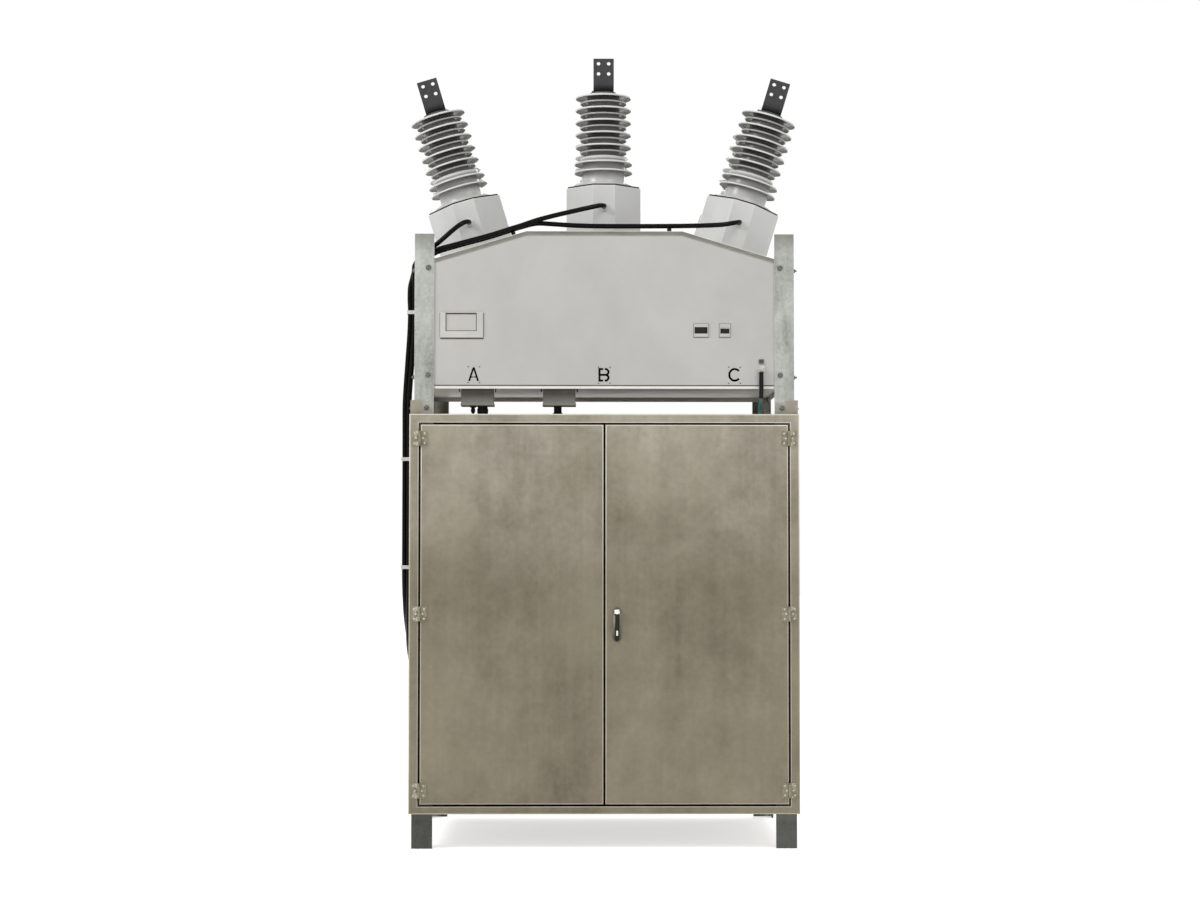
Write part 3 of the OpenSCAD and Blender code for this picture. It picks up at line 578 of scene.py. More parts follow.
class PaintShop:
    """Makes one procedural material for each finish."""

    def __init__(self) -> None:
        """Starts with no material made."""
        self.effects = Effects()
        self.made: dict[str, bpy.types.Material] = {}

    def material(self, finish: Finish) -> bpy.types.Material:
        """The material of a finish, made at its first use.

        Args:
            finish: The finish wanted.

        Returns:
            Its one material.
        """
        if finish.name not in self.made:
            self.made[finish.name] = self._make(finish)
        return self.made[finish.name]

    def _make(self, finish: Finish) -> bpy.types.Material:
        """Builds the material: pattern, colours, relief and shader.

        Args:
            finish: The finish wanted.

        Returns:
            A new material.
        """
        material = bpy.data.materials.new(finish.name)
        tree = Tree.cleared(material)
        place = tree.shade("TexCoord")["Object"]
        use = partial(self.effects.use, tree, place)
        tone, height = getattr(self, finish.pattern.value)(tree, use, finish.scale)
        shader = tree.shade(
            "BsdfPrincipled", self._colour(tree, place, use, tone, finish),
            finish.metallic, tree.between(tone, finish.rough[1], finish.rough[0]),
            Normal=tree.shade(
                "Bump", Height=height, Strength=finish.relief, Distance=1 * MM
            )[0],
            Specular_IOR_Level=finish.gloss, Coat_Weight=finish.coat,
            Coat_Roughness=finish.coat_rough,
        )
        tree.shade("OutputMaterial", shader[0])
        return material

    @staticmethod
    def _colour(
        tree: Tree, place: Any, use: Callable, tone: Any, finish: Finish
    ) -> Any:
        """Colour from the tone, with its low part, tinge, grime and edges, rubbed and
        painted as highlights.

        Args:
            tree: The material's tree.
            place: Coordinates on the object.
            use: Call that gives the outputs of an effect.
            tone: Tone from 0, dark, to 1, light.
            finish: The finish wanted.

        Returns:
            The colour socket.
        """
        dark = paint(finish.dark)
        colour = tree.mix(tone, dark, paint(finish.light))
        if finish.low:
            wander = 0.3 * (finish.low_span[1] - finish.low_span[0])
            height = tree.shade("SeparateXYZ", place)[2]
            start = tree.math("SUBTRACT", height, wander / 2)
            drift = tree.noise(place, 1.6, 2.0)
            level = tree.math("MULTIPLY_ADD", drift, wander, start)
            lower = tree.mix(tone, *map(paint, finish.low))
            colour = tree.mix(tree.spread(level, *finish.low_span), lower, colour)
        if finish.tinge:
            patch = tree.spread(tree.noise(place, 2.4, 3.0), 0.46, 0.7)
            share = tree.math("MULTIPLY", patch, 0.35)
            colour = tree.mix(share, colour, paint(finish.tinge))
        if finish.grime:
            amount = tree.math("MULTIPLY", use(Effect.GRIME)["Top"], finish.grime)
            colour = tree.mix(amount, colour, tuple(0.45 * part for part in dark))
        # Edges in the edge colour: rubbed wear and painted highlights
        if finish.edge:
            edge_rub_and_light = use(Effect.WEAR, Radius=finish.edge_radius)["Mask"]
            colour = tree.mix(edge_rub_and_light, colour, paint(finish.edge))
        return colour

    @staticmethod
    def _clouded(tree: Tree, use: Callable, scale: float) -> tuple:
        """Tone and relief of stained sheet: clouds, flecks and upright streaks.

        Args:
            tree: The material's tree.
            use: Call that gives the outputs of an effect.
            scale: Repeats of the pattern per metre.

        Returns:
            Sockets of the tone and the relief.
        """
        clouds = use(Effect.STAINS, Scale=scale, Upright=0.85)
        streak = use(Effect.STREAKS, Scale=18.0 * scale)["Streak"]
        tone = tree.mix(0.16, clouds["Stain"], clouds["Fleck"])
        return tree.mix(0.14, tone, streak), streak

    @staticmethod
    def _spangled(tree: Tree, use: Callable, scale: float) -> tuple:
        """Tone and relief of zinc: crystals under wide cloudy patches.

        Args:
            tree: The material's tree.
            use: Call that gives the outputs of an effect.
            scale: Repeats of the pattern per metre.

        Returns:
            Sockets of the tone and the relief.
        """
        crystals = use(Effect.SPANGLE, Scale=scale)
        stain = use(Effect.STAINS, Scale=0.05 * scale, Upright=0.3)["Stain"]
        return tree.mix(0.84, crystals["Tone"], stain), crystals["Border"]

    @staticmethod
    def _sprayed(tree: Tree, use: Callable, scale: float) -> tuple:
        """Tone and relief of paint: a faint drift of colour and an even peel."""
        stain = use(Effect.STAINS, Scale=scale, Upright=0.8)["Stain"]
        return stain, use(Effect.GRAIN, Scale=420.0)["Height"]

    @staticmethod
    def _moulded(tree: Tree, use: Callable, scale: float) -> tuple:
        """Tone and relief of a moulding: soft patches and a fine matt grain."""
        stain = use(Effect.STAINS, Scale=0.04 * scale, Upright=1.0)["Stain"]
        return stain, use(Effect.GRAIN, Scale=scale)["Height"]

    def _toned(self, tree: Tree, use: Callable, scale: float) -> tuple:
        """Tone from the mesh, carrying painted shade and highlight, a little clouded,
        and the relief of a moulding.

        Args:
            tree: The material's tree.
            use: Call that gives the outputs of an effect.
            scale: Repeats of the pattern per metre.

        Returns:
            Sockets of the tone and the relief.
        """
        stain, height = self._moulded(tree, use, scale)
        kept = tree.shade("Attribute", attribute_name="tone")["Fac"]
        return tree.math("MULTIPLY", kept, tree.between(stain, 0.9, 1.04)), height

    @staticmethod
    def _polished(tree: Tree, use: Callable, scale: float) -> tuple:
        """Tone and relief of worked metal: fine wipe marks and faint patches.

        Args:
            tree: The material's tree.
            use: Call that gives the outputs of an effect.
            scale: Repeats of the pattern per metre.

        Returns:
            Sockets of the tone and the relief.
        """
        streak = use(Effect.STREAKS, Scale=8.0 * scale)["Streak"]
        stain = use(Effect.STAINS, Scale=scale, Upright=1.0)["Stain"]
        return tree.mix(0.4, stain, streak), streak


class GrowthTree(Tree):
    """A geometry node tree with a geometry input, named sizes and one output."""

    def __init__(self, name: str, **starts: Any) -> None:
        """Makes the tree and its sockets.

        Args:
            name: The tree's name.
            **starts: Starting value of each size, with _ for a space in its name.
        """
        super().__init__(bpy.data.node_groups.new(name, "GeometryNodeTree"))
        self.socket("Geometry", "NodeSocketGeometry")
        self.sizes(**starts)
        self.socket("Material", "NodeSocketMaterial")
        self.socket("Geometry", "NodeSocketGeometry", "OUTPUT")
        self.given = self.node("NodeGroupInput")

    def shape(self, kind: str, *inputs: Any, **named: Any) -> Any:
        """First output of a node whose type is named after geometry."""
        return self.node(f"GeometryNode{kind}", *inputs, **named)[0]

    def close(self, geometry: Any, smooth: bool) -> GrowthTree:
        """Ends the tree: Realize Instances, shading, Set Material, output.

        Args:
            geometry: Socket of the finished shape.
            smooth: Whether its faces are shaded smooth.

        Returns:
            The closed tree itself.
        """
        real = self.shape("RealizeInstances", geometry)
        shaded = self.shape("SetShadeSmooth", real, Shade_Smooth=smooth)
        dressed = self.shape("SetMaterial", shaded, Material=self.given["Material"])
        self.node("NodeGroupOutput", dressed)
        return self

    def grow(
        self, seed: bpy.types.Mesh, material: bpy.types.Material, **sizes: Any
    ) -> bpy.types.Mesh:
        """Runs the tree on a mesh.

        Args:
            seed: The mesh that the tree starts from. It is used up.
            material: The material of the result.
            **sizes: Input values, with _ for a space in an input's name.

        Returns:
            The result as a plain mesh.
        """
        holder = in_scene("growing", seed)
        modifier = holder.modifiers.new("Grow", "NODES")
        modifier.node_group = self.tree
        values = {key.replace("_", " "): value for key, value in sizes.items()}
        values["Material"] = material
        for item in self.tree.interface.items_tree:
            if item.in_out == "INPUT" and item.name in values:
                modifier[item.identifier] = values[item.name]
        grown = settled(holder, modifier)
        bpy.data.meshes.remove(seed)
        return grown


def settled(holder: bpy.types.Object, modifier: bpy.types.Modifier) -> bpy.types.Mesh:
    """What a modifier makes of its object.

    Args:
        holder: The object, which is removed.
        modifier: Its modifier, which is removed too.

    Returns:
        The plain mesh.
    """
    graph = bpy.context.evaluated_depsgraph_get()
    made = bpy.data.meshes.new_from_object(holder.evaluated_get(graph))
    holder.modifiers.remove(modifier)
    bpy.data.objects.remove(holder)
    return made


class Growth:
    """The geometry node trees of this object, each built once."""

    def __init__(self) -> None:
        """Builds the trees."""
        self.tube = self._tube()
        self.stack = self._stack()
        self.fixings = self._fixings()

    @staticmethod
    def _tube() -> GrowthTree:
        """Smooth round tube through the points of a line, closed at its ends.

        Returns:
            The closed tree.
        """
        tree = GrowthTree("tube_through_points", Radius=9 * MM, Sides=20, Steps=6)
        given = tree.given
        line = tree.shape("MeshToCurve", given["Geometry"])
        eased = tree.shape("CurveSplineType", line, spline_type="CATMULL_ROM")
        fine = tree.shape("SetSplineResolution", eased, Resolution=given["Steps"])
        ring = tree.shape(
            "CurvePrimitiveCircle", given["Sides"], Radius=given["Radius"]
        )
        tube = tree.shape("CurveToMesh", fine, ring, Fill_Caps=True)
        return tree.close(tube, True)

    @staticmethod
    def _stack() -> GrowthTree:
        """The given piece repeated in a row at even steps.

        Returns:
            The closed tree.
        """
        tree = GrowthTree(
            "row_of_copies", Count=5, Start=ORIGIN, Step=(0.0, 0.0, 50 * MM)
        )
        given = tree.given
        row = tree.shape(
            "MeshLine", given["Count"], Start_Location=given["Start"],
            Offset=given["Step"], mode="OFFSET",
        )
        copies = tree.shape("InstanceOnPoints", row, Instance=given["Geometry"])
        return tree.close(copies, True)

    @staticmethod
    def _fixings() -> GrowthTree:
        """A washer, a chamfered head or nut and a bolt end at each point.

        Each point says which way its bolt stands out in the attribute axis.

        Returns:
            The closed tree.
        """
        tree = GrowthTree(
            "fixings_at_points", Sides=6, Head_Radius=9 * MM, Head_Height=6 * MM,
            Washer_Radius=11 * MM, Washer_Height=2 * MM, End_Radius=5 * MM,
            End_Length=4 * MM,
        )
        given = tree.given

        def disc(sides: Any, low: Any, high: Any, wide: Any, top: Any = None) -> Any:
            """A closed ring about the local Z axis.

            Args:
                sides: Corners round it.
                low: Height of its foot.
                high: Height of its end.
                wide: Radius at the foot.
                top: Radius at the end, the same if not given.

            Returns:
                Socket of the ring.
            """
            made = tree.shape(
                "MeshCone", Vertices=sides, Radius_Bottom=wide, Radius_Top=top or wide,
                Depth=tree.math("SUBTRACT", high, low),
            )
            lift = tree.shade("CombineXYZ", Z=low)[0]
            return tree.shape("Transform", made, Translation=lift)

        base, sides, wide = (
            given[label] for label in ("Washer Height", "Sides", "Head Radius")
        )
        shoulder = tree.math("MULTIPLY_ADD", given["Head Height"], 0.8, base)
        head_top = tree.math("ADD", given["Head Height"], base)
        end_top = tree.math("ADD", head_top, given["End Length"])
        narrow = tree.math("MULTIPLY", wide, 0.86)
        tip = tree.math("MULTIPLY", given["End Radius"], 0.8)
        whole = tree.tree.nodes.new("GeometryNodeJoinGeometry")
        for part in (
            disc(24, 0.0, base, given["Washer Radius"]),
            disc(sides, base, shoulder, wide),
            disc(sides, shoulder, head_top, wide, narrow),
            disc(14, head_top, end_top, given["End Radius"], tip),
        ):
            tree.put(whole.inputs[0], part)
        axis = tree.shape("InputNamedAttribute", "axis", data_type="FLOAT_VECTOR")
        turned = tree.node("FunctionNodeAlignRotationToVector", Vector=axis, axis="Z")
        placed = tree.shape(
            "InstanceOnPoints", given["Geometry"], Instance=whole.outputs[0],
            Rotation=turned[0],
        )
        return tree.close(placed, False)


def as_mesh(mesh: bmesh.types.BMesh) -> bpy.types.Mesh:
    """Turns a bmesh into mesh data and frees it.

    Args:
        mesh: The bmesh, which is used up.

    Returns:
        The mesh data.
    """
    data = bpy.data.meshes.new("part")
    mesh.to_mesh(data)
    mesh.free()
    return data


def slab(low: Sequence[float], high: Sequence[float]) -> bmesh.types.BMesh:
    """A box between two corners, as a bmesh.

    Args:
        low: Corner with the least X, Y and Z.
        high: Corner with the greatest.

    Returns:
        The box.
    """
    mesh = bmesh.new()
    bmesh.ops.create_cube(mesh, size=1.0)
    low, high = Vector(low), Vector(high)
    bmesh.ops.scale(mesh, vec=high - low, verts=mesh.verts)
    bmesh.ops.translate(mesh, vec=(high + low) / 2, verts=mesh.verts)
    return mesh


def plate_from(outline: Sequence[Pair], depth: float) -> bmesh.types.BMesh:
    """A closed flat plate with an outline in X and Z, from y = 0 towards -Y.

    Args:
        outline: Corners in X and Z, in order.
        depth: Thickness.

    Returns:
        The plate.
    """
    mesh = bmesh.new()
    rear = [mesh.verts.new((x, 0.0, z)) for x, z in outline]
    front = [mesh.verts.new((x, -depth, z)) for x, z in outline]
    mesh.faces.new(rear)
    mesh.faces.new(list(reversed(front)))
    for k in range(len(outline)):
        after = (k + 1) % len(outline)
        mesh.faces.new([rear[after], rear[k], front[k], front[after]])
    bmesh.ops.recalc_face_normals(mesh, faces=mesh.faces)
    return mesh


def joined(parts: Sequence[bpy.types.Mesh | bmesh.types.BMesh]) -> bpy.types.Mesh:
    """One mesh holding all the given ones, which are used up.

    Args:
        parts: Mesh data, whose materials are kept apart, or bmeshes.

    Returns:
        The joined mesh data.
    """
    materials: list[bpy.types.Material] = []
    whole = bmesh.new()
    for part in parts:
        data = part if isinstance(part, bpy.types.Mesh) else as_mesh(part)
        slots = list(data.materials) or [None]
        materials += [m for m in slots if m is not None and m not in materials]
        before = len(whole.faces)
        whole.from_mesh(data)
        whole.faces.ensure_lookup_table()
        for face in whole.faces[before:]:
            own = slots[min(face.material_index, len(slots) - 1)]
            face.material_index = materials.index(own) if own in materials else 0
        bpy.data.meshes.remove(data)
    result = as_mesh(whole)
    for material in materials:
        result.materials.append(material)
    return result


# Half width of the painted shade down a bushing's middle, seen from the front, and over
# how much more it fades out
FRONT_SHADE_HALF_WIDTH = 32 * MM
FRONT_SHADE_FADE = 66 * MM
# Welding distance and angles, in radians, of copies that get rounded edges
WELD = 0.01 * MM
FLAT_TO = math.radians(0.8)
SHARP_FROM = 0.6
SMOOTH_TO = math.radians(40)


def lathe(
    profile: Sequence[tuple[float, ...]], sides: int, ring: bool
) -> bpy.types.Mesh:
    """Mesh turned about the Z axis.

    Args:
        profile: Radius and height of each point, going up the outside, and if need
        be its tone of painted shade and highlight, which the mesh keeps in the
        attribute tone, and the share of the tone that is left where the surface
        turns to the front or back, which paints shade down the middle.
        sides: Number of sides round the axis.
        ring: Whether the profile closes on itself; if not, it starts and ends on
            the axis.

    Returns:
        A closed mesh with its faces outwards.
    """
    mesh = bmesh.new()
    tones = mesh.verts.layers.float.new("tone") if len(profile[0]) > 2 else None
    turns = [2 * math.pi * k / sides for k in range(sides)]
    rows: list[list[bmesh.types.BMVert]] = []
    for radius, height, *tone in profile:
        if radius:
            rows.append([
                mesh.verts.new((radius * math.cos(a), radius * math.sin(a), height))
                for a in turns
            ])
        else:
            rows.append([mesh.verts.new((0.0, 0.0, height))] * sides)
        if tones:
            # Painted shade down the middle: the tone is cut to its front share there
            # and kept in full at the sides
            full, front = (*tone, 1.0)[:2]
            for vert in rows[-1]:
                away = min(max((abs(vert.co.x) - FRONT_SHADE_HALF_WIDTH) / FRONT_SHADE_FADE, 0.0), 1.0)
                away *= away * (3 - 2 * away)
                vert[tones] = full * (front + (1 - front) * away)
    pairs = list(zip(rows, rows[1:]))
    if ring:
        pairs.append((rows[-1], rows[0]))
    for low, high in pairs:
        for k in range(sides):
            after = (k + 1) % sides
            face = list(dict.fromkeys([low[k], low[after], high[after], high[k]]))
            if len(face) > 2:
                mesh.faces.new(face)
    bmesh.ops.recalc_face_normals(mesh, faces=mesh.faces)
    return as_mesh(mesh)


class Bench:
    """Where pieces are made: paint, growth trees, copies and their hand-over."""

    def __init__(self, frame: dict[str, Any]) -> None:
        """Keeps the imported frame's nodes and makes the shared trees.

        Args:
            frame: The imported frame, as it is loaded.
        """
        self.nodes = frame["nodes"]
        self.paint = PaintShop()
        self.growth = Growth()
        self.count = 0

    def rounded(
        self,
        source: bpy.types.Mesh | bmesh.types.BMesh,
        rule: RadiusRule | float,
        segments: int = 2,
    ) -> bpy.types.Mesh:
        """A copy of a mesh with its outer edges rounded.

        Args:
            source: Mesh data, left alone, or a bmesh, which is used up.
            rule: Radius in metres, for all edges or from an edge's middle.
            segments: Faces across each rounded edge.

        Returns:
            New mesh data with even normals.
        """
        mesh = source
        if isinstance(source, bpy.types.Mesh):
            mesh = bmesh.new()
            mesh.from_mesh(source)
            bmesh.ops.remove_doubles(mesh, verts=mesh.verts, dist=WELD)
            bmesh.ops.dissolve_limit(
                mesh, angle_limit=FLAT_TO, verts=mesh.verts, edges=mesh.edges
            )
        weight = mesh.edges.layers.float.new("bevel_weight_edge")
        radii = {}
        for edge in mesh.edges:
            sharp = len(edge.link_faces) == 2 and edge.calc_face_angle(0) > SHARP_FROM
            if sharp and edge.is_convex:
                start, end = (v.co for v in edge.verts)
                radii[edge] = rule((start + end) / 2) if callable(rule) else rule
        widest = max(radii.values(), default=0.0)
        for edge, radius in radii.items():
            edge[weight] = radius / widest
        for face in mesh.faces:
            face.smooth = True
        data = as_mesh(mesh)
        data.set_sharp_from_angle(angle=SMOOTH_TO)
        holder = in_scene("rounding", data)
        bevel = holder.modifiers.new("Edges", "BEVEL")
        bevel.limit_method = "WEIGHT"
        bevel.width = widest
        bevel.segments = segments
        bevel.use_clamp_overlap = False
        bevel.harden_normals = True
        made = settled(holder, bevel)
        bpy.data.meshes.remove(data)
        return made

    def hand_over(
        self,
        name: str,
        mesh: bpy.types.Mesh,
        slot: str,
        body: str = ROOT,
        replaces: str = "",
    ) -> None:
        """Makes the finished piece ride on its body.

        Args:
            name: The piece's name.
            mesh: Its mesh, in place, with its materials.
            slot: The record's material slot; not used.
            body: The CAD body that it moves with.
            replaces: The CAD node that it stands for.
        """
        piece = in_scene(name, mesh)
        mesh.name = name
        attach(piece, body)
        if replaces:
            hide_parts(replaces)
        self.count += 1
        LOG.info("%s: %d faces on %s", name, len(mesh.polygons), body)

    def dress(
        self,
        mesh: bpy.types.Mesh,
        finish: Finish,
        zones: Sequence[tuple[Finish, ZoneTest]] = (),
    ) -> bpy.types.Mesh:
        """Gives a mesh its finish.

        Args:
            mesh: The mesh to paint.
            finish: The finish of all faces that no zone takes.
            zones: Other finishes, each with a test on a face's middle and normal.

        Returns:
            The same mesh.
        """
        mesh.materials.clear()
        mesh.materials.append(self.paint.material(finish))
        for face in mesh.polygons:
            face.material_index = 0
        for index, (other, test) in enumerate(zones, start=1):
            mesh.materials.append(self.paint.material(other))
            for face in mesh.polygons:
                if test(face.center, face.normal):
                    face.material_index = index
        return mesh

    def add(
        self, name: str, mesh: bpy.types.Mesh, finish: Finish, body: str = ROOT
    ) -> None:
        """Dresses and hands over a piece that isn't in the CAD."""
        self.hand_over(name, self.dress(mesh, finish), finish.slot, body)

    def cover(
        self,
        node: str,
        finish: Finish,
        rule: RadiusRule | float,
        zones: Sequence[tuple[Finish, ZoneTest]] = (),
        body: str = ROOT,
        segments: int = 2,
    ) -> None:
        """Replaces a CAD node by its rounded and painted copy.

        Args:
            node: The CAD node.
            finish: The copy's finish.
            rule: Radius of its rounded edges, as in rounded.
            zones: Other finishes on it, as in dress.
            body: The CAD body that it moves with.
            segments: Faces across each rounded edge.
        """
        copy = self.rounded(self.nodes[node].data, rule, segments)
        mesh = self.dress(copy, finish, zones)
        self.hand_over(f"{node}_finished", mesh, finish.slot, body, node)

    def fixings(
        self,
        name: str,
        finish: Finish,
        points: Sequence[tuple[Point, Point]],
        head: Pair,
        washer: Pair,
        end: Pair,
        sides: int = 6,
        body: str = ROOT,
    ) -> None:
        """Bolts or screws at places.

        Args:
            name: The piece's name.
            finish: Their finish.
            points: Place and outward direction of each.
            head: Radius and height of the head or nut, in millimetres.
            washer: Radius and height of the washer, in millimetres.
            end: Radius and length of the bolt end, in millimetres.
            sides: Sides of the head.
            body: The CAD body that they ride on.
        """
        seed = bpy.data.meshes.new("points")
        seed.from_pydata([place for place, _ in points], [], [])
        axis = seed.attributes.new("axis", "FLOAT_VECTOR", "POINT")
        for kept, (_, out) in zip(axis.data, points):
            kept.vector = out
        mesh = self.growth.fixings.grow(
            seed, self.paint.material(finish), Sides=sides,
            Head_Radius=head[0] * MM, Head_Height=head[1] * MM,
            Washer_Radius=washer[0] * MM, Washer_Height=washer[1] * MM,
            End_Radius=end[0] * MM, End_Length=end[1] * MM,
        )
        self.hand_over(name, mesh, finish.slot, body)

    def tube(
        self,
        name: str,
        finish: Finish,
        route: Sequence[Point],
        radius: float,
        replaces: str = "",
    ) -> None:
        """A smooth cable through the points of a route.

        Args:
            name: Name of the piece.
            finish: Finish of the cable.
            route: Points that it runs through.
            radius: Half its thickness.
            replaces: CAD node that it stands for, if any.
        """
        seed = bpy.data.meshes.new("route")
        seed.from_pydata(route, [(k, k + 1) for k in range(len(route) - 1)], [])
        mesh = self.growth.tube.grow(seed, self.paint.material(finish), Radius=radius)
        self.hand_over(name, mesh, finish.slot, replaces=replaces)


CLOSE = 0.1 * MM
TO_FRONT = (0.0, -1.0, 0.0)
SQUARE_ON = 0.985


def on_fold(middle: Vector, normal: Vector) -> bool:
    """Whether a face belongs to a rounded edge of a squarely placed part."""
    return max(abs(part) for part in normal) < SQUARE_ON


@dataclass
class Steelwork:
    """The four lower leg angles, the four upper posts and their bolts."""

    bench: Bench
    corners: tuple[str, ...] = ("front_left", "front_right", "rear_left", "rear_right")
    toe: float = 1.2 * MM
    in_from_edge: float = 53 * MM
    in_from_face: float = 40 * MM
    levels: tuple[Pair, ...] = ((2.204, 2.198), (1.794, 1.788), (1.668, 1.668))

    def build(self) -> None:
        """Makes the angles, with bolt heads on their faces and nuts at the sides."""
        heads, nuts = [], []
        for corner in self.corners:
            depth, side = (FACING[word] for word in corner.split("_"))
            # The legs carry painted shade at their feet
            self.bench.cover(f"leg_{corner}", ZINC_LEGS_SHADED_FEET, self.toe)
            # The back posts carry painted shade low down
            zinc = SHADOWED_BACK_POST_ZINC if depth > 0 else ZINC
            self.bench.cover(f"post_{corner}", zinc, self.toe)
            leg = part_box(f"leg_{corner}")
            for level, side_level in self.levels:
                low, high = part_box(f"post_{corner}") if level >= leg[1].z else leg
                x = high.x if side > 0 else low.x
                y = high.y if depth > 0 else low.y
                inner_x = x - side * self.in_from_edge
                inner_y = y - depth * self.in_from_face
                heads.append(((inner_x, y, level), (0, depth, 0)))
                nuts.append(((x, inner_y, side_level), (side, 0, 0)))
        self.bench.fixings(
            "post_face_bolts", NUT_PAINTED_SHADE_AND_GLINT, heads, head=(7.5, 6.5), washer=(10.5, 2),
            end=(3, 0.5),
        )
        self.bench.fixings(
            "post_side_nuts", NUT_PAINTED_SHADE_AND_GLINT, nuts, head=(7.5, 6), washer=(10.5, 2), end=(4, 6)
        )


@dataclass
class Cabinet:
    """The drive cabinet: front frame, walls, roof, floor and cable hood."""

    bench: Bench
    fold: float = 4.5 * MM
    lip_fold: float = 3.0 * MM
    wall_fold: float = 1.6 * MM
    panel_fold: float = 0.7 * MM
    edge: float = 0.5 * MM
    rim: float = 20 * MM
    across: float = 0.2

    def build(self) -> None:
        """Makes the folded sheets."""
        low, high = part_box("front_frame")
        bottom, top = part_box("cabinet_floor")[0].z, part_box("cabinet_roof")[1].z

        def frame_rule(middle: Vector) -> float:
            """Wide folds round the outside and the opening, fine edges elsewhere.

            Args:
                middle: Middle of an edge.

            Returns:
                The radius of its rounding.
            """
            x, y, z = middle
            if y >= low.y + CLOSE:
                return self.edge
            away = (x - low.x, x - high.x, z - bottom, z - top)
            return self.fold if min(map(abs, away)) < CLOSE else self.lip_fold

        def faces_opening(middle: Vector, normal: Vector) -> bool:
            """Whether a face of the front frame looks into the door opening.

            Args:
                middle: Middle of a face.
                normal: Its direction.

            Returns:
                True for a face that does.
            """
            return abs(normal.y) < self.across and all(
                low[axis] + self.rim < middle[axis] < high[axis] - self.rim
                for axis in (0, 2)
            )

        # Folds in pale paint as a painted highlight, faces into the opening in painted
        # shade
        zones = [(FOLD, on_fold)]
        self.bench.cover(
            "front_frame", SHEET, frame_rule, [*zones, (GAP_SHADE, faces_opening)],
            segments=4,
        )
        for node in ("left_wall", "right_wall", "back_wall"):
            self.bench.cover(node, SHEET, self.wall_fold, zones, segments=3)
        for node in ("cabinet_roof", "cabinet_floor", "cable_entry"):
            self.bench.cover(node, SHEET, self.panel_fold, zones)


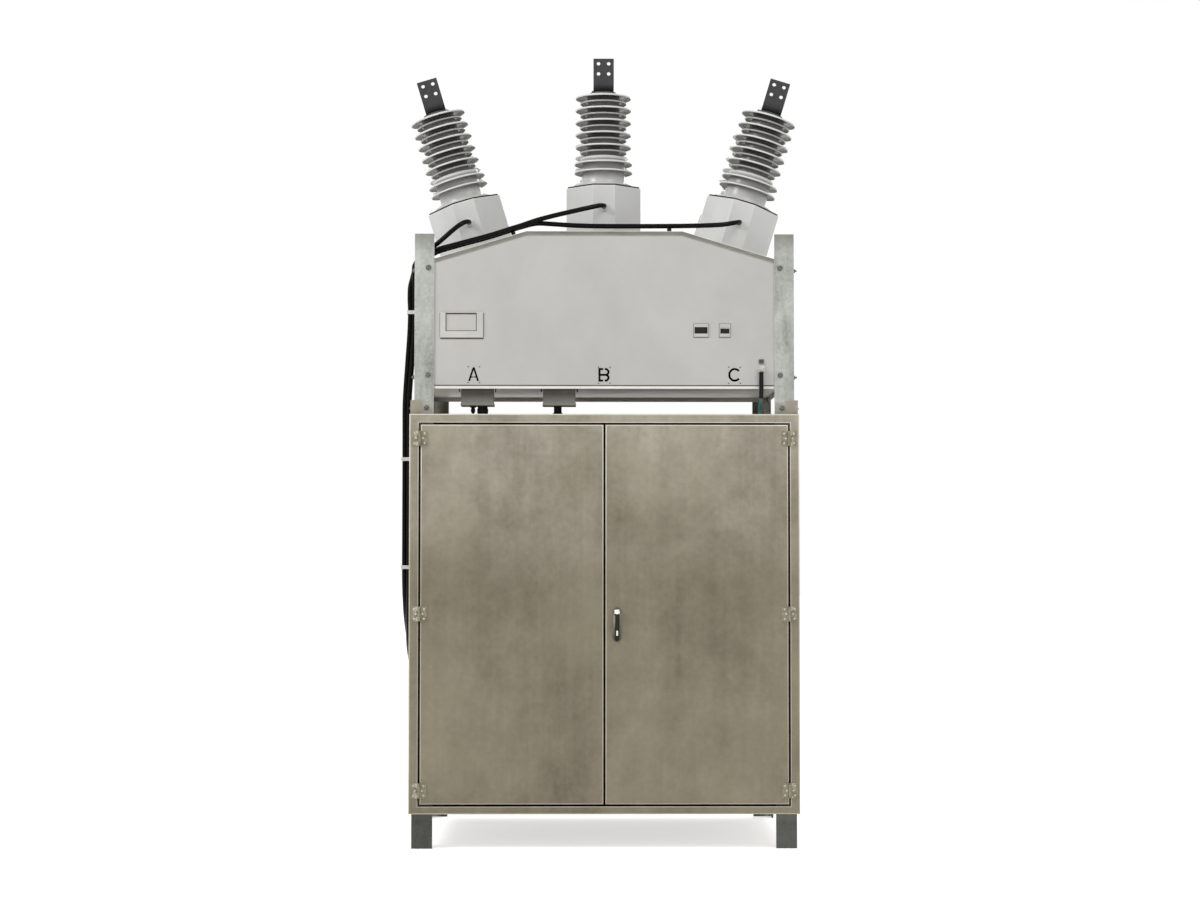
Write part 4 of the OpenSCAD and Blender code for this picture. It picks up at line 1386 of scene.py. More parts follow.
@dataclass
class Doors:
    """Both doors with their hinges and the handle."""

    bench: Bench
    fold: float = 1.2 * MM
    leaf_edge: float = 0.5 * MM
    leaf_reach: float = 200 * MM
    screw_rows: tuple[float, ...] = (-18 * MM, 0.0, 18 * MM)
    screw_inset: float = 11 * MM
    screw_shift: float = 6 * MM
    screw_depth: float = 3 * MM
    gap_depth: float = 1 * MM
    gap_facing: float = 0.98
    # Half width, depth and rounding of the painted shade strips behind the hinge gaps
    seal: tuple[float, ...] = (7 * MM, 2.4 * MM, 0.8 * MM)
    plate_edge: float = 1.2 * MM
    collar_reach: float = 28 * MM
    lever_edge: float = 2.6 * MM
    pivot_drop: float = 18 * MM
    boss: float = 13 * MM
    # A bright chrome patch on the lever: a painted reflection
    worn_half: float = 3.6 * MM
    worn_span: Pair = (21 * MM, 40 * MM)
    worn_edge: float = 1.2 * MM
    wing_x: Pair = (4 * MM, 15.5 * MM)
    wing_y: Pair = (-12 * MM, -5 * MM)
    wing_z: Pair = (-4 * MM, 8 * MM)
    wing_edge: float = 1.5 * MM

    def build(self) -> None:
        """Makes the pans, hinge leaves, screws, handle and the dark strips in the hinge
        gaps.
        """
        for side in ("left", "right"):
            body = f"{side}_door"
            gap = self._faces_gap(*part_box(f"door_{side}"))
            # Folds as a painted highlight, the door's gap faces in painted shade
            zones = [(FOLD, on_fold), (GAP_SHADE, gap)]
            self.bench.cover(f"door_{side}", SHEET, self.fold, zones, body)
            leaves = f"{body}_hinge_leaves"
            self.bench.cover(leaves, HINGE, self.leaf_edge, body=body)
        self.bench.cover("frame_hinge_leaves", HINGE, self.leaf_edge)
        self._screws()
        self._handle()
        self._seals()

    def _faces_gap(self, low: Vector, high: Vector) -> ZoneTest:
        """Test for the narrow outer faces of a door with these corners.

        Args:
            low: The door's least corner.
            high: Its greatest corner.

        Returns:
            The test.
        """

        def test(middle: Vector, normal: Vector) -> bool:
            """Whether the face lies in the gap round the door.

            Args:
                middle: Middle of a face.
                normal: Its direction.

            Returns:
                True for a face that does.
            """
            return any(
                abs(normal[axis]) > self.gap_facing
                and min(middle[axis] - low[axis], high[axis] - middle[axis])
                < self.gap_depth
                for axis in (0, 2)
            )

        return test

    def _screws(self) -> None:
        """Three dome head screws in each hinge leaf, the middle one set over."""
        low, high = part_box("right_door_hinge_leaves")
        frame_low, frame_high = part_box("frame_hinge_leaves")
        points = self.bench.nodes["right_door_hinge_leaves"].data.vertices
        levels = [v.co.z for v in points if v.co.z < low.z + self.leaf_reach]
        half = (max(levels) - low.z) / 2
        middles = (high.z - half, (high.z + low.z) / 2, low.z + half)
        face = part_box("front_frame")[0].y - self.screw_depth
        inset, shift = self.screw_inset, self.screw_shift
        for body, over, columns in (
            (ROOT, -shift, (frame_low.x + inset, frame_high.x - inset)),
            ("left_door", shift, (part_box("left_door_hinge_leaves")[1].x - inset,)),
            ("right_door", shift, (low.x + inset,)),
        ):
            places = [
                (x if step else x + math.copysign(over, x * over), face, z + step)
                for x in columns for z in middles for step in self.screw_rows
            ]
            self.bench.fixings(
                f"hinge_screws_{body}", ZINC, [(place, TO_FRONT) for place in places],
                head=(3.5, 1.8), washer=(3.8, 0.3), end=(2.4, 0.5), sides=16, body=body,
            )

    def _handle(self) -> None:
        """The chromed plate and lever, with the lever's wings and a bright spot on it,
        a painted reflection.
        """
        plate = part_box("handle_plate")[1]
        pivot = plate.z - self.pivot_drop

        def near_pivot(middle: Vector, normal: Vector) -> bool:
            """Whether a face belongs to the boss and collar round the spindle."""
            return abs(middle.z - pivot) < self.boss

        # Plate and lever in chrome painted dark as a painted reflection; the boss and
        # collar round the spindle stay bright chrome
        self.bench.cover(
            "handle_plate", CHROME_PLATE_DARK_REFLECTION, self.plate_edge,
            [(CHROME, lambda middle, normal: near_pivot(middle, normal)
              and middle.y < plate.y - self.collar_reach)],
            "right_door", segments=4,
        )
        self.bench.cover(
            "handle_lever", CHROME_LEVER_DARK_REFLECTION, self.lever_edge, [(CHROME, near_pivot)],
            "handle", segments=5,
        )
        # The lever's painted reflection, a bright chrome patch, and the pivot's two
        # wings
        low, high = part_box("handle_lever")
        middle = (low.x + high.x) / 2
        half, (foot, head) = self.worn_half, self.worn_span
        parts = [self.bench.rounded(
            slab((middle - half, low.y - 0.3 * MM, low.z + foot),
                 (middle + half, low.y + 1 * MM, low.z + head)),
            self.worn_edge,
        )]
        for side in (-1, 1):
            start, end = (
                (middle + side * x, high.y + y, pivot + z)
                for x, y, z in zip(self.wing_x, self.wing_y, self.wing_z)
            )
            parts.append(self.bench.rounded(slab(start, end), self.wing_edge))
        self.bench.add("lever_bright_parts", joined(parts), CHROME, "handle")

    def _seals(self) -> None:
        """Dark strips on the legs behind the gaps on the hinge sides: painted shade, in
        the form of rubber seals.
        """
        for side in ("left", "right"):
            low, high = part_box(f"door_{side}")
            x = high.x if FACING[side] > 0 else low.x
            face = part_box(f"leg_front_{side}")[0].y
            half, depth, edge = self.seal
            strip = self.bench.rounded(
                slab((x - half, face - depth, low.z), (x + half, face, high.z)), edge
            )
            self.bench.add(f"{side}_door_seal", strip, GAP_SHADOW_STRIP)


@dataclass
class Tank:
    """The grey tank with its fittings, marks and connection boxes."""

    bench: Bench
    edge: float = 1.4 * MM
    fine_edge: float = 0.5 * MM
    holder_edge: float = 0.8 * MM
    window_edge: float = 0.6 * MM
    box_edge: float = 1.6 * MM
    terminal_edge: float = 0.7 * MM
    pane_edge: float = 0.2 * MM
    upward: float = 0.1
    outward: float = -0.3
    frontal: float = -0.9
    proud: float = 0.35 * MM
    sunk: float = 1 * MM
    side_gap: float = 71 * MM
    side_line: float = 1.5 * MM
    ridge: float = 0.298
    slope: float = math.tan(math.radians(16.7))
    # Where the roof's lip ends under the ridge, and the height of the painted shadow
    # band under it
    roof_lip: float = 11 * MM
    band: float = 8 * MM
    shoulder: float = 0.14
    lip: Pair = (-6 * MM, 4 * MM)
    line: float = 5 * MM
    pane_widths: Pair = (56 * MM, 41 * MM)
    pane_line: float = 1.6 * MM
    nut_depth: float = 16.5 * MM
    tag_drop: float = 49 * MM
    tag_reach: float = 5 * MM
    box_width: float = 124 * MM
    ear: float = 7 * MM
    letters: tuple[tuple[str, float, float], ...] = (
        ("A", -0.4985, 1.7970), ("B", -0.0016, 1.7954), ("C", 0.4955, 1.7960),
    )
    letter_height: float = 52 * MM
    stroke: float = 8 * MM
    paint_depth: float = 0.25 * MM
    tick: float = 5 * MM
    tick_x: Pair = (-21 * MM, 23 * MM)
    tick_z: Pair = (-32 * MM, 29 * MM)

    def build(self) -> None:
        """Makes the tank's plates, holder, windows, boxes, glands and marks."""
        cover = self.bench.cover
        cover("tank_walls", TANK_PAINT, self.edge, segments=3)
        # Roof: upper folds in pale paint as a painted highlight, the lip's front faces
        # in painted shade
        cover(
            "tank_roof", TANK_PAINT, self.edge,
            [(PALE_EDGE, lambda middle, normal: on_fold(middle, normal)
              and normal.z > self.upward),
             (LIP_SHADE, lambda middle, normal: normal.y < self.outward
              and normal.z < self.upward)],
            segments=3,
        )
        # The tank floor in painted light
        cover("tank_floor", UNDERSIDE, self.fine_edge)
        cover(
            "nameplate_holder", TANK_PAINT, self.holder_edge,
            [(HOLDER_FRONT_PAINT, lambda middle, normal: normal.y < self.frontal)],
            segments=3,
        )
        cover("indicator_windows", TANK_PAINT, self.window_edge, segments=3)
        self._panes()
        self._trim()
        cover("gland_boxes", BOX_PAINT, self.box_edge, segments=3)
        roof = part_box("tank_roof")[0].z
        cover(
            "cable_glands", BLACK_PLASTIC, self.fine_edge,
            [(PALE_PLASTIC, lambda middle, normal: middle.z > roof)],
        )
        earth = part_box("earth_terminal")[1]
        cover(
            "earth_terminal", FITTING, self.terminal_edge,
            [(NUT_PAINTED_SHADE_AND_GLINT, lambda middle, normal: middle.z > earth.z - self.nut_depth),
             (BLACK_PLASTIC, lambda middle, normal: middle.z < earth.z - self.tag_drop
              and middle.y < earth.y - self.tag_reach)],
        )
        self._marks()
        self._box_bolts()

    def _bars(self, spans: Sequence[tuple[float, float, float, float]]) -> list:
        """Thin bars on the front plate, each from its X and Z limits.

        Args:
            spans: Limits of each bar: least and greatest X, least and greatest Z.

        Returns:
            The bars.
        """
        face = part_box("tank_walls")[0].y
        return [
            slab((x0, face - self.proud, z0), (x1, face + self.sunk, z1))
            for x0, x1, z0, z1 in spans
        ]

    def _trim(self) -> None:
        """Pale lip under the front plate, a painted highlight, and dark lines along
        raised edges: painted shadow round the holder and windows, plain dark lines over
        the lip and at the sides; and painted shadow under the roof's lip.
        """
        low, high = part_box("tank_walls")
        reach = (high.x - low.x) / 2 - self.side_gap
        middle = (low.x + high.x) / 2
        start, end = middle - reach, middle + reach
        foot, edge = (low.z + level for level in self.lip)
        # Pale ledge under the front plate: a painted highlight
        lip = slab((start, low.y - 0.9 * MM, foot), (end, low.y + 3 * MM, edge))
        self.bench.add("tank_lip", self.bench.rounded(lip, 0.8 * MM), PALE_EDGE)
        # Dark line just over the pale lip
        line = slab(
            (start, low.y - 0.3 * MM, edge), (end, low.y + 1 * MM, edge + self.line)
        )
        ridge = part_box("tank_roof")[1].z
        # Dark lines down both sides of the front plate
        upright = [
            (x, x + 3 * MM, edge, ridge - self.shoulder)
            for x in (low.x + self.side_line, high.x - self.side_line - 3 * MM)
        ]
        # With the painted shadow lines round and under the holder and round the windows
        bars = self._bars([*upright, *self._holder_spans(), *self._window_spans()])
        self.bench.add("dark_lines_and_painted_shadow", joined([line, *bars]), SHADOW_AND_MARK_LINE)
        # Painted shadow under the roof's lip, following the roof's slopes
        top = ridge - self.roof_lip
        bounds = (-reach, -self.ridge, self.ridge, reach)
        bands = self._bars([
            (x0, x1, top - self.band, top) for x0, x1 in zip(bounds, bounds[1:])
        ])
        for band in bands:
            for vert in band.verts:
                vert.co.z -= self.slope * max(abs(vert.co.x) - self.ridge, 0.0)
                vert.co.x += middle
        self.bench.add("roof_shadow_band", joined(bands), ROOF_LIP_SHADOW)

    @staticmethod
    def _holder_spans() -> list[tuple[float, float, float, float]]:
        """Limits of the painted shadow lines inside the plate holder's head, beside and
        below it.

        Returns:
            Least and greatest X, least and greatest Z of each line.
        """
        low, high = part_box("nameplate_holder")
        left, right = low.x + 21 * MM, high.x - 24 * MM
        sill, head = low.z + 25 * MM, high.z - 9 * MM
        return [
            (left, right, head, high.z - 3 * MM),
            (left, left + 3 * MM, sill, head),
            (right - 3 * MM, right, sill, head),
            (left, right, sill, sill + 2.5 * MM),
            (low.x + 1 * MM, high.x + 1 * MM, low.z - 6 * MM, low.z),
            (high.x, high.x + 2.5 * MM, low.z, high.z - 4 * MM),
            (low.x - 1.5 * MM, low.x, low.z, high.z - 4 * MM),
        ]

    def _window_spans(self) -> list[tuple[float, float, float, float]]:
        """Limits of the painted shadow line round each indicator window.

        Returns:
            Least and greatest X, least and greatest Z of each line.
        """
        low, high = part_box("indicator_windows")
        wide = self.pane_line
        spans = []
        for x0, x1 in self._windows(low, high):
            spans += [
                (x0 - wide, x1 + wide, high.z, high.z + wide),
                (x0 - wide, x1 + wide, low.z - 1.8 * wide, low.z),
                (x0 - wide, x0, low.z, high.z),
                (x1, x1 + wide, low.z, high.z),
            ]
        return spans

    def _windows(self, low: Vector, high: Vector) -> tuple[Pair, Pair]:
        """Left and right limits of the two windows."""
        first, second = self.pane_widths
        return (low.x, low.x + first), (high.x - second, high.x)

    def _panes(self) -> None:
        """A dark pane in each indicator window, the second one set lower."""
        low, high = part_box("indicator_windows")
        middle, quarter = (low.z + high.z) / 2, (high.z - low.z) / 4
        panes = [
            self.bench.rounded(
                slab((start + 3 * MM, low.y + 1.8 * MM, middle - quarter - drop),
                     (end - 3 * MM, low.y + 2.6 * MM, middle + quarter - 1.5 * drop)),
                self.pane_edge,
            )
            for (start, end), drop in zip(self._windows(low, high), (0.0, 4 * MM))
        ]
        self.bench.add("window_panes", joined(panes), DARK_PANE)

    def _marks(self) -> None:
        """Stencilled phase marks along the lower edge, each inside four ticks."""
        low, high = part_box("tank_walls")
        centre, half = (low.x + high.x) / 2, self.tick / 2
        stencil = Stencil(self.letter_height, self.stroke)
        plates, ticks = [], []
        for letter, x, level in self.letters:
            for outline in stencil.outlines(letter):
                plate = plate_from(outline, self.paint_depth)
                place = (centre + x, low.y, level)
                bmesh.ops.translate(plate, vec=place, verts=plate.verts)
                plates.append(plate)
            for side in self.tick_x:
                for lift in self.tick_z:
                    x0, z0 = centre + x + side, level + lift
                    ticks.append((x0 - half, x0 + half, z0 - half, z0 + half))
        self.bench.add("phase_marks", joined(plates), STENCIL)
        self.bench.add("stencil_ticks", joined(self._bars(ticks)), SHADOW_AND_MARK_LINE)

    def _box_bolts(self) -> None:
        """Bolt ends that hang from the ears of the connection boxes."""
        low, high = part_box("gland_boxes")
        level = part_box("tank_floor")[0].z - 3 * MM
        inner = self.box_width + 3 * self.ear
        rows = (low.x + self.ear, low.x + inner, high.x - inner, high.x - self.ear)
        points = [((x, low.y + 22 * MM, level), (0.0, 0.0, -1.0)) for x in rows]
        self.bench.fixings(
            "connection_box_bolts", NUT_PAINTED_SHADE_AND_GLINT, points, head=(6.5, 5.5), washer=(6.8, 2),
            end=(3.4, 40),
        )


@dataclass
class Stencil:
    """Outlines of stencilled capital letters, with their bridges left open."""

    height: float
    stroke: float
    bridge: float = 6 * MM
    half_width: float = 17.2 * MM
    ease: float = 6 * MM
    steps: int = 5
    apart: float = 0.01 * MM

    def outlines(self, letter: str) -> list[list[Pair]]:
        """The closed outlines of a letter, centred, in X and Z.

        Args:
            letter: A, B or C.

        Returns:
            Outlines of its strokes.
        """
        strokes = {"A": self._a, "B": self._b, "C": self._c}[letter]()
        return [
            self._band(self._eased(points, ease), share * self.stroke / 2)
            for share, ease, points in strokes
        ]

    def _eased(self, points: Sequence, ease: float) -> list[Vector]:
        """The line with its corners rounded off.

        Args:
            points: Corners of the line.
            ease: How far from a corner the rounding starts.

        Returns:
            Points of the eased line.
        """
        points = [Vector(point) for point in points]
        line = [points[0]]
        for before, corner, after in zip(points, points[1:], points[2:]):
            if not ease:
                line.append(corner)
                continue
            reach = min(ease, (before - corner).length / 2, (after - corner).length / 2)
            start, end = (
                corner + (other - corner).normalized() * reach
                for other in (before, after)
            )
            for step in range(self.steps + 1):
                part = step / self.steps
                line.append(start.lerp(corner, part).lerp(corner.lerp(end, part), part))
        return line + [points[-1]]

    def _band(self, line: Sequence[Vector], reach: float) -> list[Pair]:
        """Outline of a stroke that reaches so far from its line, mitred at corners.

        Args:
            line: Points of the middle line.
            reach: Half the width of the stroke.

        Returns:
            Corners of the outline.
        """
        kept = [line[0]]
        kept += [
            point for point in line[1:] if (point - kept[-1]).length > self.apart
        ]
        runs = [(end - start).normalized() for start, end in zip(kept, kept[1:])]
        sides = [Vector((-along.y, along.x)) for along in runs]
        left, right = [], []
        for point, before, after in zip(kept, sides[:1] + sides, sides + sides[-1:]):
            out = (before + after) / (1 + before.dot(after)) * reach
            left.append(tuple(point + out))
            right.append(tuple(point - out))
        return left + right[::-1]

    def _a(self) -> list[tuple[float, float, list]]:
        """Letter A: two legs that meet, and a crossbar open in the middle.

        Returns:
            Share of the full width, ease and corners of each stroke.
        """
        half, wide = self.height / 2, self.half_width
        level, tip = -0.2 * self.height, 0.5 * MM
        reach = wide * (half - level) / self.height - self.stroke / 4
        strokes = []
        for side in (-1, 1):
            strokes += [
                (0.86, 0.0, [(side * wide, -half), (side * tip, half)]),
                (0.56, 0.0, [(side * reach, level), (side * self.bridge / 4, level)]),
            ]
        return strokes

    def _b(self) -> list[tuple[float, float, list]]:
        """Letter B: a stem with its bars, and two bowls set off by bridges.

        Returns:
            Share of the full width, ease and corners of each stroke.
        """
        high, wide = (self.height - self.stroke) / 2, self.half_width
        gap = self.bridge / 2
        stem = [(-gap, high), (-wide, high), (-wide, -high), (-gap, -high)]
        bowls = [
            (1.0, self.ease, [
                (gap, side * high), (0.6 * wide, side * high),
                (wide, side * 0.66 * high), (wide, side * 0.32 * high),
                (0.6 * wide, 0.0), (self.stroke / 2 - wide, 0.0),
            ])
            for side in (1, -1)
        ]
        return [(1.0, 0.0, stem), *bowls]

    def _c(self) -> list[tuple[float, float, list]]:
        """Letter C: one open round stroke.

        Returns:
            Share of the full width, ease and corners of each stroke.
        """
        high, wide = (self.height - self.stroke) / 2, self.half_width + 1.2 * MM
        half = [(wide, 0.68 * high), (0.45 * wide, high), (-0.34 * wide, high),
                (-wide, 0.42 * high)]
        return [(1.0, self.ease, half + [(x, -z) for x, z in reversed(half)])]


@dataclass(frozen=True)
class Shed:
    """Section of one shed, measured from the lowest point of its rim."""

    radius: float
    core: float
    # rim scales the shed's painted tone; front is the share of it kept down the middle,
    # as painted shade
    rim: float = 1.0
    front: float = 0.12
    root: float = 12 * MM

    def profile(self) -> list[tuple[float, ...]]:
        """Radius, height, tone and front share of the points, going up; the tone is
        painted shade and highlight, dark under the shed and bright on its rim.

        Returns:
            The points, in metres and shares.
        """
        tip, core, root, front = self.radius, self.core, self.root, self.front
        points = [
            (core - 2 * MM, 1.5 * MM, 0.34, front),
            (core + 2 * MM, 2.2 * MM, 0.36, front),
            (core + 8 * MM, 4.2 * MM, 0.42, front),
            (tip - 12 * MM, 2.4 * MM, 0.54, front),
            (tip - 6.5 * MM, 0.0, 0.6, 1.6 * front),
            (tip - 4.2 * MM, -1.9 * MM, 0.64, 0.5),
            (tip - 2.6 * MM, -2.5 * MM, 0.7),
            (tip - 0.9 * MM, -1.7 * MM, 0.84),
            (tip - 0.1 * MM, 0.4 * MM, 1.0),
            (tip - 0.3 * MM, 2.6 * MM, 1.0),
            (tip - 1.6 * MM, 4.1 * MM, 0.94),
            (tip - 3.6 * MM, 4.9 * MM, 0.72),
            (tip - 12 * MM, 6.4 * MM, 0.66),
            (core + 10 * MM, root - 2.6 * MM, 0.6),
            (core + 3 * MM, root - 0.4 * MM, 0.5),
            (core - 2 * MM, root + 1.5 * MM, 0.4),
        ]
        return [(x, z, self.rim * tone, *share) for x, z, tone, *share in points]


@dataclass
class Poles:
    """The six bushings: housing, insulator and terminal."""

    bench: Bench
    reach: float = 0.491
    row: float = 0.280
    flat: float = 0.298
    lean: float = math.radians(16.7)
    housing: float = 0.202
    gasket: float = 5 * MM
    rim_fold: float = 5 * MM
    body_fold: float = 2.2 * MM
    gasket_fold: float = 0.6 * MM
    terminal_edge: float = 0.8 * MM
    core: float = 64 * MM
    base: float = 84 * MM
    swell: float = 90 * MM
    foot: float = 114 * MM
    big: float = 110.5 * MM
    small: float = 92 * MM
    top_shed: float = 0.356
    pitch: float = 49 * MM
    drop: float = 21 * MM
    count: int = 5
    belly: float = 0.115
    low_sheds: tuple[float, float] = (0.094, 0.060)
    low_radius: float = 0.115
    core_top: float = 0.372
    cap_top: float = 0.380
    cap_radius: float = 52 * MM
    cap_ease: float = 1.5 * MM
    cap_sides: int = 48
    cap_angle: float = math.radians(50)
    # Painted shade of the silicone: the trunk's tone, the small sheds' tone and the
    # share kept down the front
    side_tone: float = 0.42
    small_tone: float = 0.62
    small_front: float = 0.62
    big_front: float = 0.13
    low_front: float = 0.4
    sides: int = 112

    def build(self) -> None:
        """Makes the six poles and the two rows of terminals."""
        for row in ("front", "rear"):
            for column, letter in enumerate("abc", start=-1):
                where = self._place(column, FACING[row])
                self._housing(f"ct_housing_{letter}_{row}", where)
                self._insulator(f"insulator_{letter}_{row}", where)
            self.bench.cover(f"terminals_{row}", TERMINAL_METAL_SHADED, self.terminal_edge)

    def _place(self, column: int, side: int) -> Matrix:
        """Where a pole stands on the roof, and how it leans.

        Args:
            column: -1, 0 or 1 from left to right.
            side: -1 for the front row and 1 for the rear one.

        Returns:
            The matrix from the pole's own axes to the frame's.
        """
        low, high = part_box("tank_roof")
        away = self.reach * abs(column)
        level = high.z - max(away - self.flat, 0.0) * math.tan(self.lean)
        middle = (low + high) / 2
        spot = (middle.x + column * self.reach, middle.y + side * self.row, level)
        return Matrix.Translation(spot) @ Matrix.Rotation(column * self.lean, 4, "Y")

    def _housing(self, node: str, where: Matrix) -> None:
        """One transformer housing with the gasket on its top, whose black also stands
        for the shade under the lowest shed.

        Args:
            node: Name of its CAD node.
            where: Where the pole stands.
        """
        back = where.inverted()
        top = self.housing

        def rule(middle: Vector) -> float:
            """A wide fold round the top of the body, fine edges elsewhere.

            Args:
                middle: Middle of an edge.

            Returns:
                The radius of its rounding.
            """
            level = (back @ middle).z
            if abs(level - top) < CLOSE:
                return self.rim_fold
            return self.body_fold if level < top - 1 * MM else self.gasket_fold

        # The gasket in black, also painted shade under the lowest shed
        self.bench.cover(
            node, HOUSING_PAINT, rule,
            [(GASKET_AND_SHADE, lambda middle, normal: (back @ middle).z > top - 0.2 * MM)],
            segments=3,
        )

    def _body(self) -> list[tuple[float, ...]]:
        """Profile of the silicone body without its sheds: foot, belly and trunk, toned
        with painted shade.

        Returns:
            The points, going up.
        """
        low, mid, dim = 0.8, 0.95, self.side_tone
        base, core, foot, swell, belly = (
            self.base, self.core, self.foot, self.swell, self.belly
        )
        upper, lower = self.low_sheds
        trunk = []
        for index in reversed(range(self.count)):
            shed = self.top_shed - index * self.pitch
            trunk += [
                (core, shed - self.pitch + 14 * MM, dim, self.small_front),
                (core, shed - self.drop + 1 * MM, dim, self.small_front),
                (core, shed - self.drop + 12 * MM, dim, self.big_front),
                (core, shed + 1 * MM, dim, self.big_front),
            ]
        return [
            (0.0, 0.0, low), (foot - 2 * MM, 0.0, low), (foot, 2 * MM, low),
            (foot, 8 * MM, low), (foot - 2 * MM, 10 * MM, low),
            (base + 2 * MM, 10.4 * MM, low), (base, 12.5 * MM, low),
            (base, lower - 24 * MM, low), (base, lower, 0.4),
            (base, lower + 11 * MM, 0.66), (base, upper, 0.3),
            (base, belly - 9 * MM, 0.7), (swell - 1.5 * MM, belly - 5 * MM, mid),
            (swell, belly - 3 * MM, mid), (swell, belly + 3.5 * MM, mid),
            (swell - 2 * MM, belly + 5 * MM, mid),
            (core + 6 * MM, belly + 10 * MM, low),
            (core + 1 * MM, belly + 13 * MM, dim, self.small_front),
            *(point for point in trunk if point[1] > belly + 14 * MM),
            (core, self.core_top - 2 * MM, dim), (core - 2 * MM, self.core_top, dim),
            (0.0, self.core_top, dim),
        ]

    def _insulator(self, node: str, where: Matrix) -> None:
        """The ribbed silicone body: trunk, evenly stepped sheds and its cap.

        Args:
            node: Name of its CAD node.
            where: Where the pole stands.
        """
        upper, lower = self.low_sheds
        big = Shed(self.big, self.core, 1.0, self.big_front)
        small = Shed(self.small, self.core, self.small_tone, self.small_front)
        low = Shed(self.low_radius, self.base, front=self.low_front)
        rows = [(self._body(), False, 1, 0.0)] + [
            (shed.profile(), True, count, level)
            for shed, count, level in (
                (big, self.count, self.top_shed),
                (small, self.count, self.top_shed - self.drop),
                (low, 1, upper),
                (low, 1, lower),
            )
        ]
        material = self.bench.paint.material(SILICONE)
        parts = [
            self.bench.growth.stack.grow(
                lathe(profile, self.sides, ring), material, Count=count,
                Start=(0.0, 0.0, level), Step=(0.0, 0.0, -self.pitch),
            )
            for profile, ring, count, level in rows
        ]
        rim, ease, start = self.cap_radius, self.cap_ease, self.core_top - 1 * MM
        cap = lathe(
            [(0.0, start), (rim - ease, start), (rim, start + ease),
             (rim, self.cap_top - ease), (rim - ease, self.cap_top),
             (0.0, self.cap_top)],
            self.cap_sides, False,
        )
        whole = joined([joined(parts), self.bench.dress(cap, TERMINAL_METAL_SHADED)])
        lift = Matrix.Translation((0.0, 0.0, self.housing + self.gasket))
        whole.transform(where @ lift)
        for face in whole.polygons:
            face.use_smooth = True
        whole.set_sharp_from_angle(angle=self.cap_angle)
        self.bench.hand_over(f"{node}_finished", whole, SILICONE.slot, replaces=node)


CABLE_ROUTES: dict[str, tuple[Point, ...]] = {
    "a": (
        (-524, -439, 2397), (-524, -462, 2397), (-540, -484, 2391),
        (-566, -498, 2373), (-598, -504, 2345), (-634, -500, 2314),
        (-662, -490, 2294), (-684, -484, 2278), (-702, -480, 2259),
        (-718.5, -477, 2241), (-730.2, -477, 2219.5), (-733.5, -477, 2198),
        (-740, -479, 2172), (-747, -481, 2140), (-748.5, -482, 2095),
        (-746.5, -482, 2041), (-749, -482, 1960), (-757, -482, 1840),
        (-765.5, -482, 1700), (-766, -482, 1580), (-765.8, -482, 1476),
        (-765.8, -482, 1330), (-765.8, -482, 1180), (-765.8, -482, 1062),
        (-765, -470, 970), (-763, -422, 875), (-759, -330, 795),
        (-757, -205, 731), (-757, -60, 692), (-757, 60, 675), (-757, 160, 675),
    ),
    "b": (
        (0, -439, 2460), (0, -466, 2460), (-20, -492, 2456), (-60, -512, 2445),
        (-130, -528, 2427), (-200, -538, 2409), (-262, -544, 2391),
        (-320, -545, 2371), (-362, -545, 2358), (-440, -545, 2333),
        (-560, -540, 2301), (-640, -525, 2281), (-680, -508, 2263),
        (-702, -498, 2250), (-718.5, -495.5, 2240), (-730.2, -495.5, 2219.5),
        (-731, -495.5, 2192), (-731, -493.5, 2150), (-731, -492, 2095),
        (-730, -492, 2041), (-732, -492, 1960), (-740, -492, 1840),
        (-749.3, -492, 1700), (-749.3, -492, 1476), (-749.3, -492, 1270),
        (-749.3, -492, 1062), (-750, -484, 960), (-753, -440, 850),
        (-757, -345, 760), (-757, -215, 697), (-757, -60, 662), (-757, 60, 650),
        (-757, 160, 650),
    ),
    "c": (
        (524, -439, 2397), (524, -466, 2397), (500, -490, 2390),
        (455, -510, 2381), (380, -520, 2376), (250, -524, 2373),
        (0, -524, 2372), (-120, -524, 2375), (-200, -524, 2380),
        (-262, -523, 2382), (-320, -522, 2368), (-362, -521, 2355),
        (-440, -520, 2330), (-560, -512, 2298), (-640, -494, 2276),
        (-680, -470, 2256), (-702, -460, 2247), (-718.5, -458.3, 2240),
        (-730.2, -458.3, 2219.5), (-731, -459, 2192), (-731, -466, 2150),
        (-731, -472, 2095), (-730, -472, 2041), (-732, -472, 1960),
        (-740, -472, 1840), (-749.3, -472, 1700), (-749.3, -472, 1476),
        (-749.3, -472, 1270), (-749.3, -472, 1062), (-750, -455, 985),
        (-753, -400, 905), (-757, -308, 834), (-757, -190, 768),
        (-757, -60, 722), (-757, 60, 700), (-757, 160, 700),
    ),
}
WIRE_ROUTE: tuple[Point, ...] = (
    (598, -586, 1740), (598, -586, 1722), (597, -584, 1706),
    (596, -576, 1688), (595, -563, 1668), (595, -560, 1656), (595, -560, 1644),
)


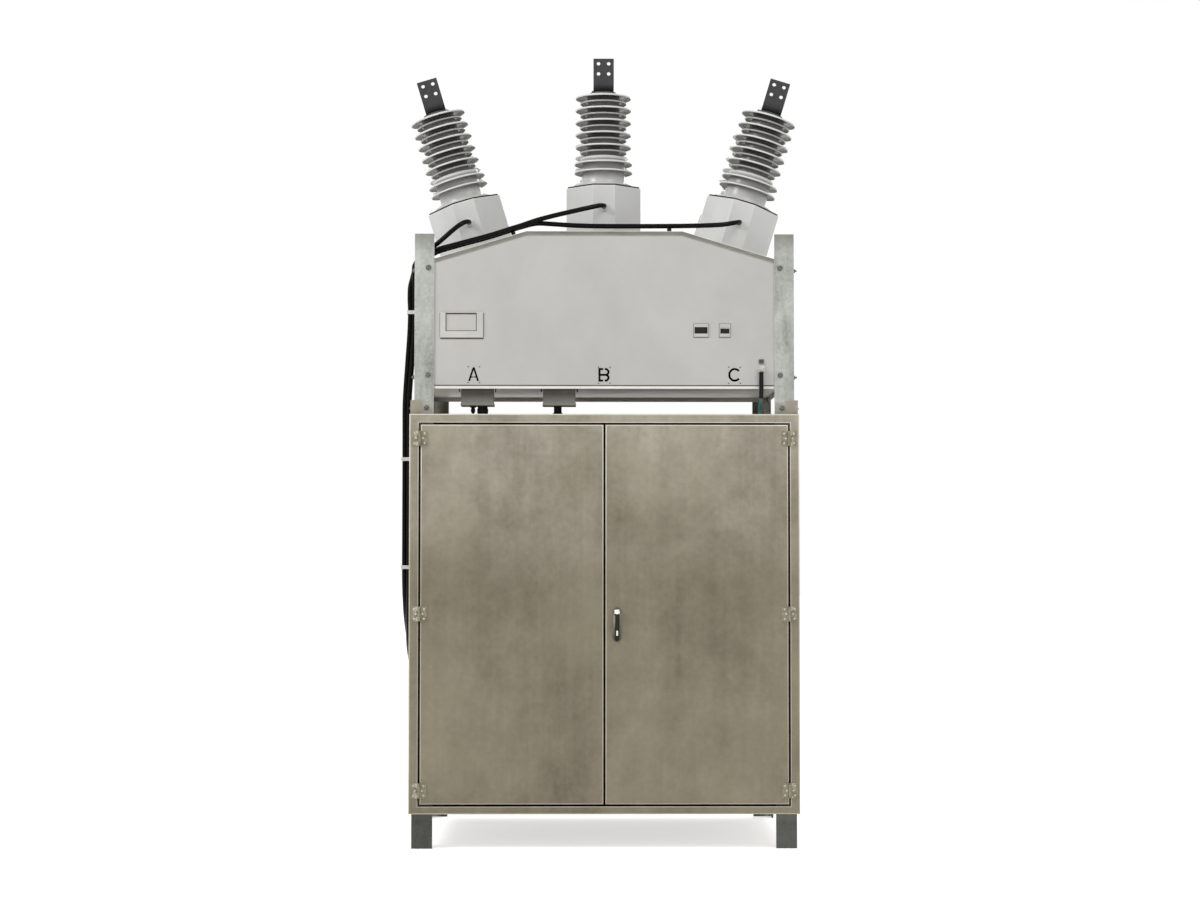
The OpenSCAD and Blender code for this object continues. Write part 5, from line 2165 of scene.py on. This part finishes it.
@dataclass
class Cabling:
    """The transformer cables, the earth wire and the straps that hold them."""

    bench: Bench
    cable_radius: float = 9.3 * MM
    wire_radius: float = 7.5 * MM
    sleeve_wall: float = 0.6 * MM
    sleeve_bend: Point = (597.6, -585.4, 1714)
    pad_height: float = 0.1
    strap_edge: float = 0.4 * MM

    def build(self) -> None:
        """Makes the cables, the wire with its sleeve, and the straps."""
        for letter, route in CABLE_ROUTES.items():
            self._cable(f"ct_cable_{letter}", SHEATH, route, self.cable_radius)
        self._cable("earth_wire", EARTH_SHEATH, WIRE_ROUTE, self.wire_radius)
        sleeve = (*WIRE_ROUTE[:2], self.sleeve_bend, WIRE_ROUTE[2])
        self.bench.tube(
            "earth_wire_sleeve", BLACK_PLASTIC, self._moved(sleeve),
            self.wire_radius + self.sleeve_wall,
        )
        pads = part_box("tank_roof")[0].z + self.pad_height
        self.bench.cover(
            "cable_clips", TIE, self.strap_edge,
            [(BLACK_PLASTIC, lambda middle, normal: middle.z > pads)],
        )

    def _cable(
        self, node: str, finish: Finish, route: Sequence[Point], radius: float
    ) -> None:
        """A smooth cable in the place of its CAD node."""
        self.bench.tube(f"{node}_smooth", finish, self._moved(route), radius, node)

    @staticmethod
    def _moved(route: Sequence[Point]) -> list[Point]:
        """A route in the frame's metres, from millimetres about the tank's middle.

        Args:
            route: Points in millimetres.

        Returns:
            The same points in metres.
        """
        low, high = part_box("tank_walls")
        middle = (low + high) / 2
        return [
            (middle.x + x * MM, middle.y + y * MM, z * MM) for x, y, z in route
        ]


@dataclass
class Studio:
    """Camera, lamps, world and floor."""

    eye: Point = (-0.121, -9.962, 1.100)
    pitch: float = math.radians(2.485)
    yaw: float = math.radians(0.69)
    roll: float = math.radians(0.02)
    lens: float = 74.2
    sensor: float = 36.0
    far: float = 200.0
    ambient: float = 0.72
    floor_reach: float = 60.0
    floor_shade: Point = (0.93, 0.93, 0.93)
    floor_lift: float = 0.6
    lamp_size: float = 3.0
    lamps: tuple[tuple[str, Point, Point, float], ...] = (
        ("key", (-6.0, -3.6, 6.4), (0.0, -0.4, 1.9), 330.0),
        ("fill", (3.4, -4.6, 6.6), (0.0, -0.4, 1.7), 128.0),
        ("back", (1.2, 5.4, 4.6), (0.0, 0.2, 1.7), 100.0),
    )

    def build(self) -> None:
        """Makes everything that isn't part of the object."""
        self._camera()
        self._world()
        for name, spot, aim, power in self.lamps:
            self._lamp(name, spot, aim, power)
        self._floor()
        bpy.context.scene.view_settings.view_transform = "Standard"

    def _camera(self) -> None:
        """The camera at the front, a little under the middle of the object."""
        data = bpy.data.cameras.new("camera")
        data.lens = self.lens
        data.sensor_width = self.sensor
        data.clip_end = self.far
        camera = in_scene("camera", data)
        camera.location = self.eye
        turn = Euler((math.pi / 2 + self.pitch, 0.0, -self.yaw)).to_matrix()
        turn @= Matrix.Rotation(self.roll, 3, "Z")
        camera.rotation_euler = turn.to_euler()
        bpy.context.scene.camera = camera

    @staticmethod
    def _seen(tree: Tree) -> tuple[Any, Any]:
        """What tells a ray of the camera or a mirror, and the rays' other kinds."""
        rays = tree.shade("LightPath")
        return tree.math("MAXIMUM", rays["Is Camera Ray"], rays["Is Glossy Ray"]), rays

    def _world(self) -> None:
        """White for the camera, mirrors and glass, softer as a light."""
        world = bpy.data.worlds.new("studio")
        tree = Tree.cleared(world)
        seen, rays = self._seen(tree)
        seen = tree.math("MAXIMUM", seen, rays["Is Transmission Ray"])
        strength = tree.between(seen, self.ambient, 1.0)
        light = tree.shade("Background", WHITE, strength)
        tree.shade("OutputWorld", light[0])
        bpy.context.scene.world = world

    def _lamp(self, name: str, spot: Point, aim: Point, power: float) -> None:
        """A square soft lamp turned towards a point.

        Args:
            name: The lamp's name.
            spot: Where it hangs.
            aim: The point that it lights.
            power: Its strength in watts.
        """
        data = bpy.data.lights.new(name, "AREA")
        data.shape = "SQUARE"
        data.size = self.lamp_size
        data.energy = power
        lamp = in_scene(name, data)
        lamp.location = spot
        away = Vector(aim) - Vector(spot)
        lamp.rotation_euler = away.to_track_quat("-Z", "Y").to_euler()

    def _floor(self) -> None:
        """A wide pale floor that keeps the object's shadow."""
        mesh = bmesh.new()
        bmesh.ops.create_grid(mesh, x_segments=1, y_segments=1, size=self.floor_reach)
        floor = in_scene("floor", as_mesh(mesh))
        material = bpy.data.materials.new("pale_floor")
        tree = Tree.cleared(material)
        matt = tree.shade("BsdfDiffuse", self.floor_shade)
        lift = tree.math("MULTIPLY", self._seen(tree)[0], self.floor_lift)
        glow = tree.shade("Emission", WHITE, lift)
        both = tree.shade("AddShader", matt[0], glow[0])
        tree.shade("OutputMaterial", both[0])
        floor.data.materials.append(material)


def main() -> None:
    """Builds the studio and every sub-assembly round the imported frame."""
    logging.basicConfig(level=logging.INFO, format="%(name)s %(message)s")
    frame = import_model()
    Studio().build()
    bench = Bench(frame)
    for assembly in (Steelwork, Cabinet, Doors, Tank, Poles, Cabling):
        assembly(bench).build()
        LOG.info("%s done, %d pieces so far", assembly.__name__, bench.count)


if __name__ == "__main__":
    main()
